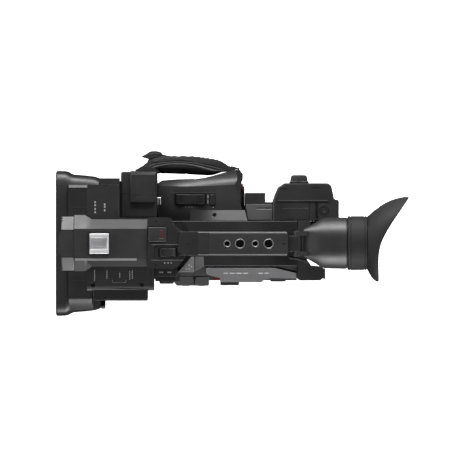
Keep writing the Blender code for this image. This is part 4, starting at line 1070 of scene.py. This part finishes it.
def control_side():
    low, high = span("left_side_housing")
    cuts = []
    for z in (30.0, 46.0):
        cuts.append(block((low.x + 6, -40.2, z), (low.x + 60, -39.1, z + 0.6)))
    cuts.append(block((40, -41, 24), (40.6, -39.1, 104)))
    for i in range(7):
        cuts.append(plate(rounded((58 + 4.6 * i, 28), (60.4 + 4.6 * i, 44), 1.1), "Y", -41, -37.5))
    skin("left_side_housing", "body_plastic", cuts=cuts, edges=1.2)
    shoulder = high.z
    add("shoulder_block", "body_plastic", plate(softened([(-53, shoulder - 44), (-53, shoulder - 3),
            (-28, shoulder - 3), (-25, shoulder - 44)], 2), "Y", -35.0, -24.6), bevel=0.8)
    add("shoulder_step", "dark_plastic", plate(softened([(-53.3, shoulder - 46), (-53.3, shoulder - 16),
            (-30, shoulder - 16), (-24, shoulder - 46)], 2), "Y", -40.3, -34.6), bevel=0.8)
    for i, x in enumerate((-48.4, -46.0, -39.8, -37.6)):
        mark(f"block_mark_{i}", (x, -31.4), (x + 1.5, -29.9), shoulder - 3, tall=0.08)
    # The wedge takes the paler paint as painted light, making up for the shadow that the handle head casts on
    # it.
    add("shoulder_wedge", "pale_paint", plate([(-28.8, -30.2), (-14.5, -14.0), (-11.4, -14.0),
            (-11.4, -30.4)], "Z", shoulder - 30, shoulder + 5.6), bevel=0.5)
    for i, (x, y) in enumerate(((-20.5, -27.6), (-17.6, -27.6), (-15.2, -25.2), (-17.8, -23.6))):
        mark(f"wedge_mark_{i}", (x, y), (x + 1.6, y + 1.4), shoulder + 5.6, tall=0.08)
    add("shoulder_plate", "grey_paint", plate(softened([(-10.6, -29.2), (-10.6, -14.0), (-1.2, -14.0),
            (-1.2, -24.6)], 1), "Z", shoulder - 24, shoulder + 5.4), bevel=0.6)
    for i, (x0, x1) in enumerate(((-31, -12.4), (-11.6, 4))):
        add(f"key_block_{i}", "grey_paint", plate(softened([(x0, -44.9), (x1, -44.9), (x1, -35.5),
                (x0 + 1.5, -35.5)], 1.4), "Z", 103, 117.5 + i), bevel=0.9)
    add("accent", "record_red", plate([(8.6, -39.3), (16.2, -38.9), (14.4, -34.6), (8.0, -34.8)], "Z", 104,
            121), bevel=0.4)
    for number in (1, 2):
        name = "user_button_" + str(number)
        a, b = span(name)
        x, _, z = middle(name)
        skin(name, "grey_paint", shape=lathe([(0, a.y + 0.35), (2.6, a.y + 0.1), (3.4, a.y),
                (4.0, a.y + 0.5), (4.0, b.y), (0, b.y)], "Y", (x, 0, z), 40), edges=0.0)
        trim(f"user_rim_{number}", "dark_plastic", hoop(4.5, 5.5, "Y", (x, 0, z), a.y + 0.6, a.y + 1.6,
                0.3))
    a, b = span("menu_dial")
    x, _, z = middle("menu_dial")
    skin("menu_dial", "dark_plastic", shape=lathe([(0, a.y + 0.9), (3.6, a.y + 0.9), (3.9, a.y + 0.4),
            (4.3, a.y + 0.1), (7.5, a.y), (8.1, a.y + 0.6), (8.1, b.y), (0, b.y)], "Y", (x, 0, z),
            teeth=(44, 0.35, 7.9)), edges=0.0)
    for number in (1, 2):
        name = "audio_knob_" + str(number)
        a, b = span(name)
        x, _, z = middle(name)
        skin(name, "dark_plastic", shape=lathe([(0, a.y), (3.4, a.y), (4.0, a.y + 0.6), (4.6, b.y - 1),
                (4.6, b.y), (0, b.y)], "Y", (x, 0, z), teeth=(22, 0.4, 3.9)), edges=0.0)
        trim(f"audio_pointer_{number}", "grey_paint", block((x - 0.3, a.y - 0.12, z),
                (x + 0.3, a.y + 0.2, z + 3)), body=f"audio_{number}")
    a, b = span("nd_dial")
    x, _, z = middle("nd_dial")
    skin("nd_dial", "dark_plastic", shape=lathe([(0, a.y), (6.8, a.y), (7.6, a.y + 0.8), (8, b.y - 0.8),
            (8, b.y), (0, b.y)], "Y", (x, 0, z), teeth=(28, 0.6, 7.5)), edges=0.0)
    trim("nd_pointer", "grey_paint", block((x - 0.4, a.y - 0.12, z + 2), (x + 0.4, a.y + 0.2, z + 6.4)),
        body="filter_dial")
    skin("side_panel", "grey_paint", bevel=0.5, edges=1.2)
    low, high = span("side_panel")
    lean = math.atan2(15.2, 40.0)
    for i, (x, size) in enumerate(((22, 5.2), (29, 5.2), (36, 5.2), (43, 5.2), (59, 4.4), (65.4, 4.4))):
        bar = plate(rounded((-size / 2, -1.2), (size / 2, 1.2), 0.4, 2), "Z", -0.05, 0.12)
        bar.transform(Matrix.Translation((x, -31.52, 133.9)) @ Matrix.Rotation(math.pi / 2 - lean, 4, "X"))
        trim(f"panel_mark_{i}", "print", bar)


def rear():
    skin("rear_cover", "body_plastic", bevel=0.8, limit=40.0)
    low, high = span("battery")
    cuts = [block((high.x - 30, low.y - 1, low.z + 10), (high.x - 29.4, high.y + 1, high.z + 1)),
        block((high.x - 0.5, low.y + 4, low.z + 14), (high.x + 1, high.y - 4, low.z + 14.6))]
    skin("battery", "dark_plastic", cuts=cuts, edges=1.0)
    for i in range(4):
        trim(f"battery_lamp_{i}", "grey_paint", disc(0.9, "X", (0, low.y + 10 + 4 * i, high.z - 12),
                high.x - 0.2, high.x + 0.0, 0.1, 16), body="battery_pack")
    trim("battery_label", "body_plastic", plate(rounded((low.y + 5, low.z + 20), (high.y - 5, low.z + 50),
            2), "X", high.x - 0.3, high.x + 0.15), body="battery_pack")
    low, high = span("battery_latch")
    skin("battery_latch", "grey_paint", cuts=[block((high.x - 0.5, low.y + 2 + 1.6 * i, low.z + 1.5),
            (high.x + 1, low.y + 2.7 + 1.6 * i, high.z - 1.5)) for i in range(8)])
    low, high = span("card_door")
    skin("card_door", "body_plastic", cuts=[block((high.x - 0.5, low.y + 2, high.z - 9),
            (high.x + 1, high.y - 2, high.z - 8))])
    trim("card_edges", "dark_plastic", merged([block((117.5, -33.9, 65.0 + 20.3 * i),
            (126.2, -29.6, 84.4 + 20.3 * i)) for i in range(2)]))
    # The casings take the darker plastic as painted shade, for the shade that falls on their tops under the
    # handle; their edges get no painted highlight.
    for name in ("left_casing", "right_casing"):
        skin(name, "dark_plastic", bevel=0.8, limit=60.0, edges=0.0)
    low, high = span("base_plate")
    skin("base_plate", "steel")
    trim("base_pad", "rubber", plate(rounded((low.x + 3, low.y + 3), (high.x - 3, high.y - 3), 4), "Z",
            low.z, low.z + 0.6), cuts=[lathe([(0, 3), (r, 3), (r, -3), (0, -3)], "Z", (x, 0, 0), 32) for x,
            r in ((-14, 4.2), (16, 5.8))])
    for name, slot in (("sensor_board", "circuit_board"), ("main_board", "circuit_board"),
            ("nd_wheel", "coated_glass")):
        dress(name, slot)


# ---------------------------------------------------------------- stage

# Metres from here on, with millimetres for the camera's lens and sensor, and watts for the lamps.
FLOOR_REACH, FLOOR_GAP = 14.0, 0.0005
SKY_SIDE, SKY_TOP, FLOOR_GLOW = 0.42, 0.12, 0.85
LIT_POINT = (0.03, 0.0, 0.12)
LIGHTS = (("left", (0.32, -1.05, 0.52), (0.5, 1.0), 20.0), ("right", (0.0, 1.1, 0.55), (0.5, 1.6), 36.0),
          ("front", (-1.4, 0.0, 0.9), (0.5, 1.0), 8.0))
LENS_LENGTH, SENSOR_WIDTH = 400, 36
CAMERA_PLACE = (0.02915, 0.01166, 5.627)


def stage():
    floor_mesh = bpy.data.meshes.new("floor")
    corners = [(x * FLOOR_REACH, y * FLOOR_REACH, 0) for x, y in ((-1, -1), (1, -1), (1, 1), (-1, 1))]
    floor_mesh.from_pydata(corners, [], [(0, 1, 2, 3)])
    floor = bpy.data.objects.new("floor", floor_mesh)
    floor.location.z = -FLOOR_GAP
    floor.visible_glossy = False
    bpy.context.scene.collection.objects.link(floor)
    paper = bpy.data.materials.new("paper")
    paper.use_nodes = True
    shader = paper.node_tree.nodes["Principled BSDF"]
    shader.inputs["Base Color"].default_value = (0.86, 0.86, 0.86, 1.0)
    shader.inputs["Roughness"].default_value = 0.9
    shader.inputs["Specular IOR Level"].default_value = 0.1
    shader.inputs["Emission Color"].default_value = (1.0, 1.0, 1.0, 1.0)
    shader.inputs["Emission Strength"].default_value = FLOOR_GLOW
    floor_mesh.materials.append(paper)

    world = bpy.data.worlds.new("studio")
    bpy.context.scene.world = world
    world.use_nodes = True
    tree = world.node_tree
    up = node(tree, "SeparateXYZ", {0: node(tree, "TexCoord").outputs["Generated"]}).outputs[2]
    dim = node(tree, "MapRange", {0: up, 1: 0.55, 2: 0.97, 3: SKY_SIDE, 4: SKY_TOP}).outputs[0]
    dim = calc(tree, "MULTIPLY", dim, remap(tree, up, 0.0, 1.0, -0.05, 0.35))
    tree.links.new(dim, tree.nodes["Background"].inputs["Strength"])
    tree.nodes["Background"].inputs["Color"].default_value = (1.0, 1.0, 1.0, 1.0)

    for name, place, size, power in LIGHTS:
        lamp = bpy.data.lights.new(name, "AREA")
        lamp.shape = "RECTANGLE"
        lamp.size, lamp.size_y = size
        lamp.energy = power
        item = bpy.data.objects.new(name, lamp)
        item.location = place
        toward = Vector(LIT_POINT) - Vector(place)
        item.rotation_euler = toward.to_track_quat("-Z", "X").to_euler()
        item.visible_camera = False
        bpy.context.scene.collection.objects.link(item)

    camera = bpy.data.cameras.new("camera")
    camera.lens = LENS_LENGTH
    camera.sensor_width = SENSOR_WIDTH
    camera.clip_end = 100
    eye = bpy.data.objects.new("camera", camera)
    eye.location = CAMERA_PLACE
    bpy.context.scene.collection.objects.link(eye)
    bpy.context.scene.camera = eye
    bpy.context.scene.view_settings.view_transform = "Standard"


lens()
top_front()
audio_block()
handle()
viewfinder()
eyecup()
grip()
strap()
right_side()
control_side()
rear()
stage()
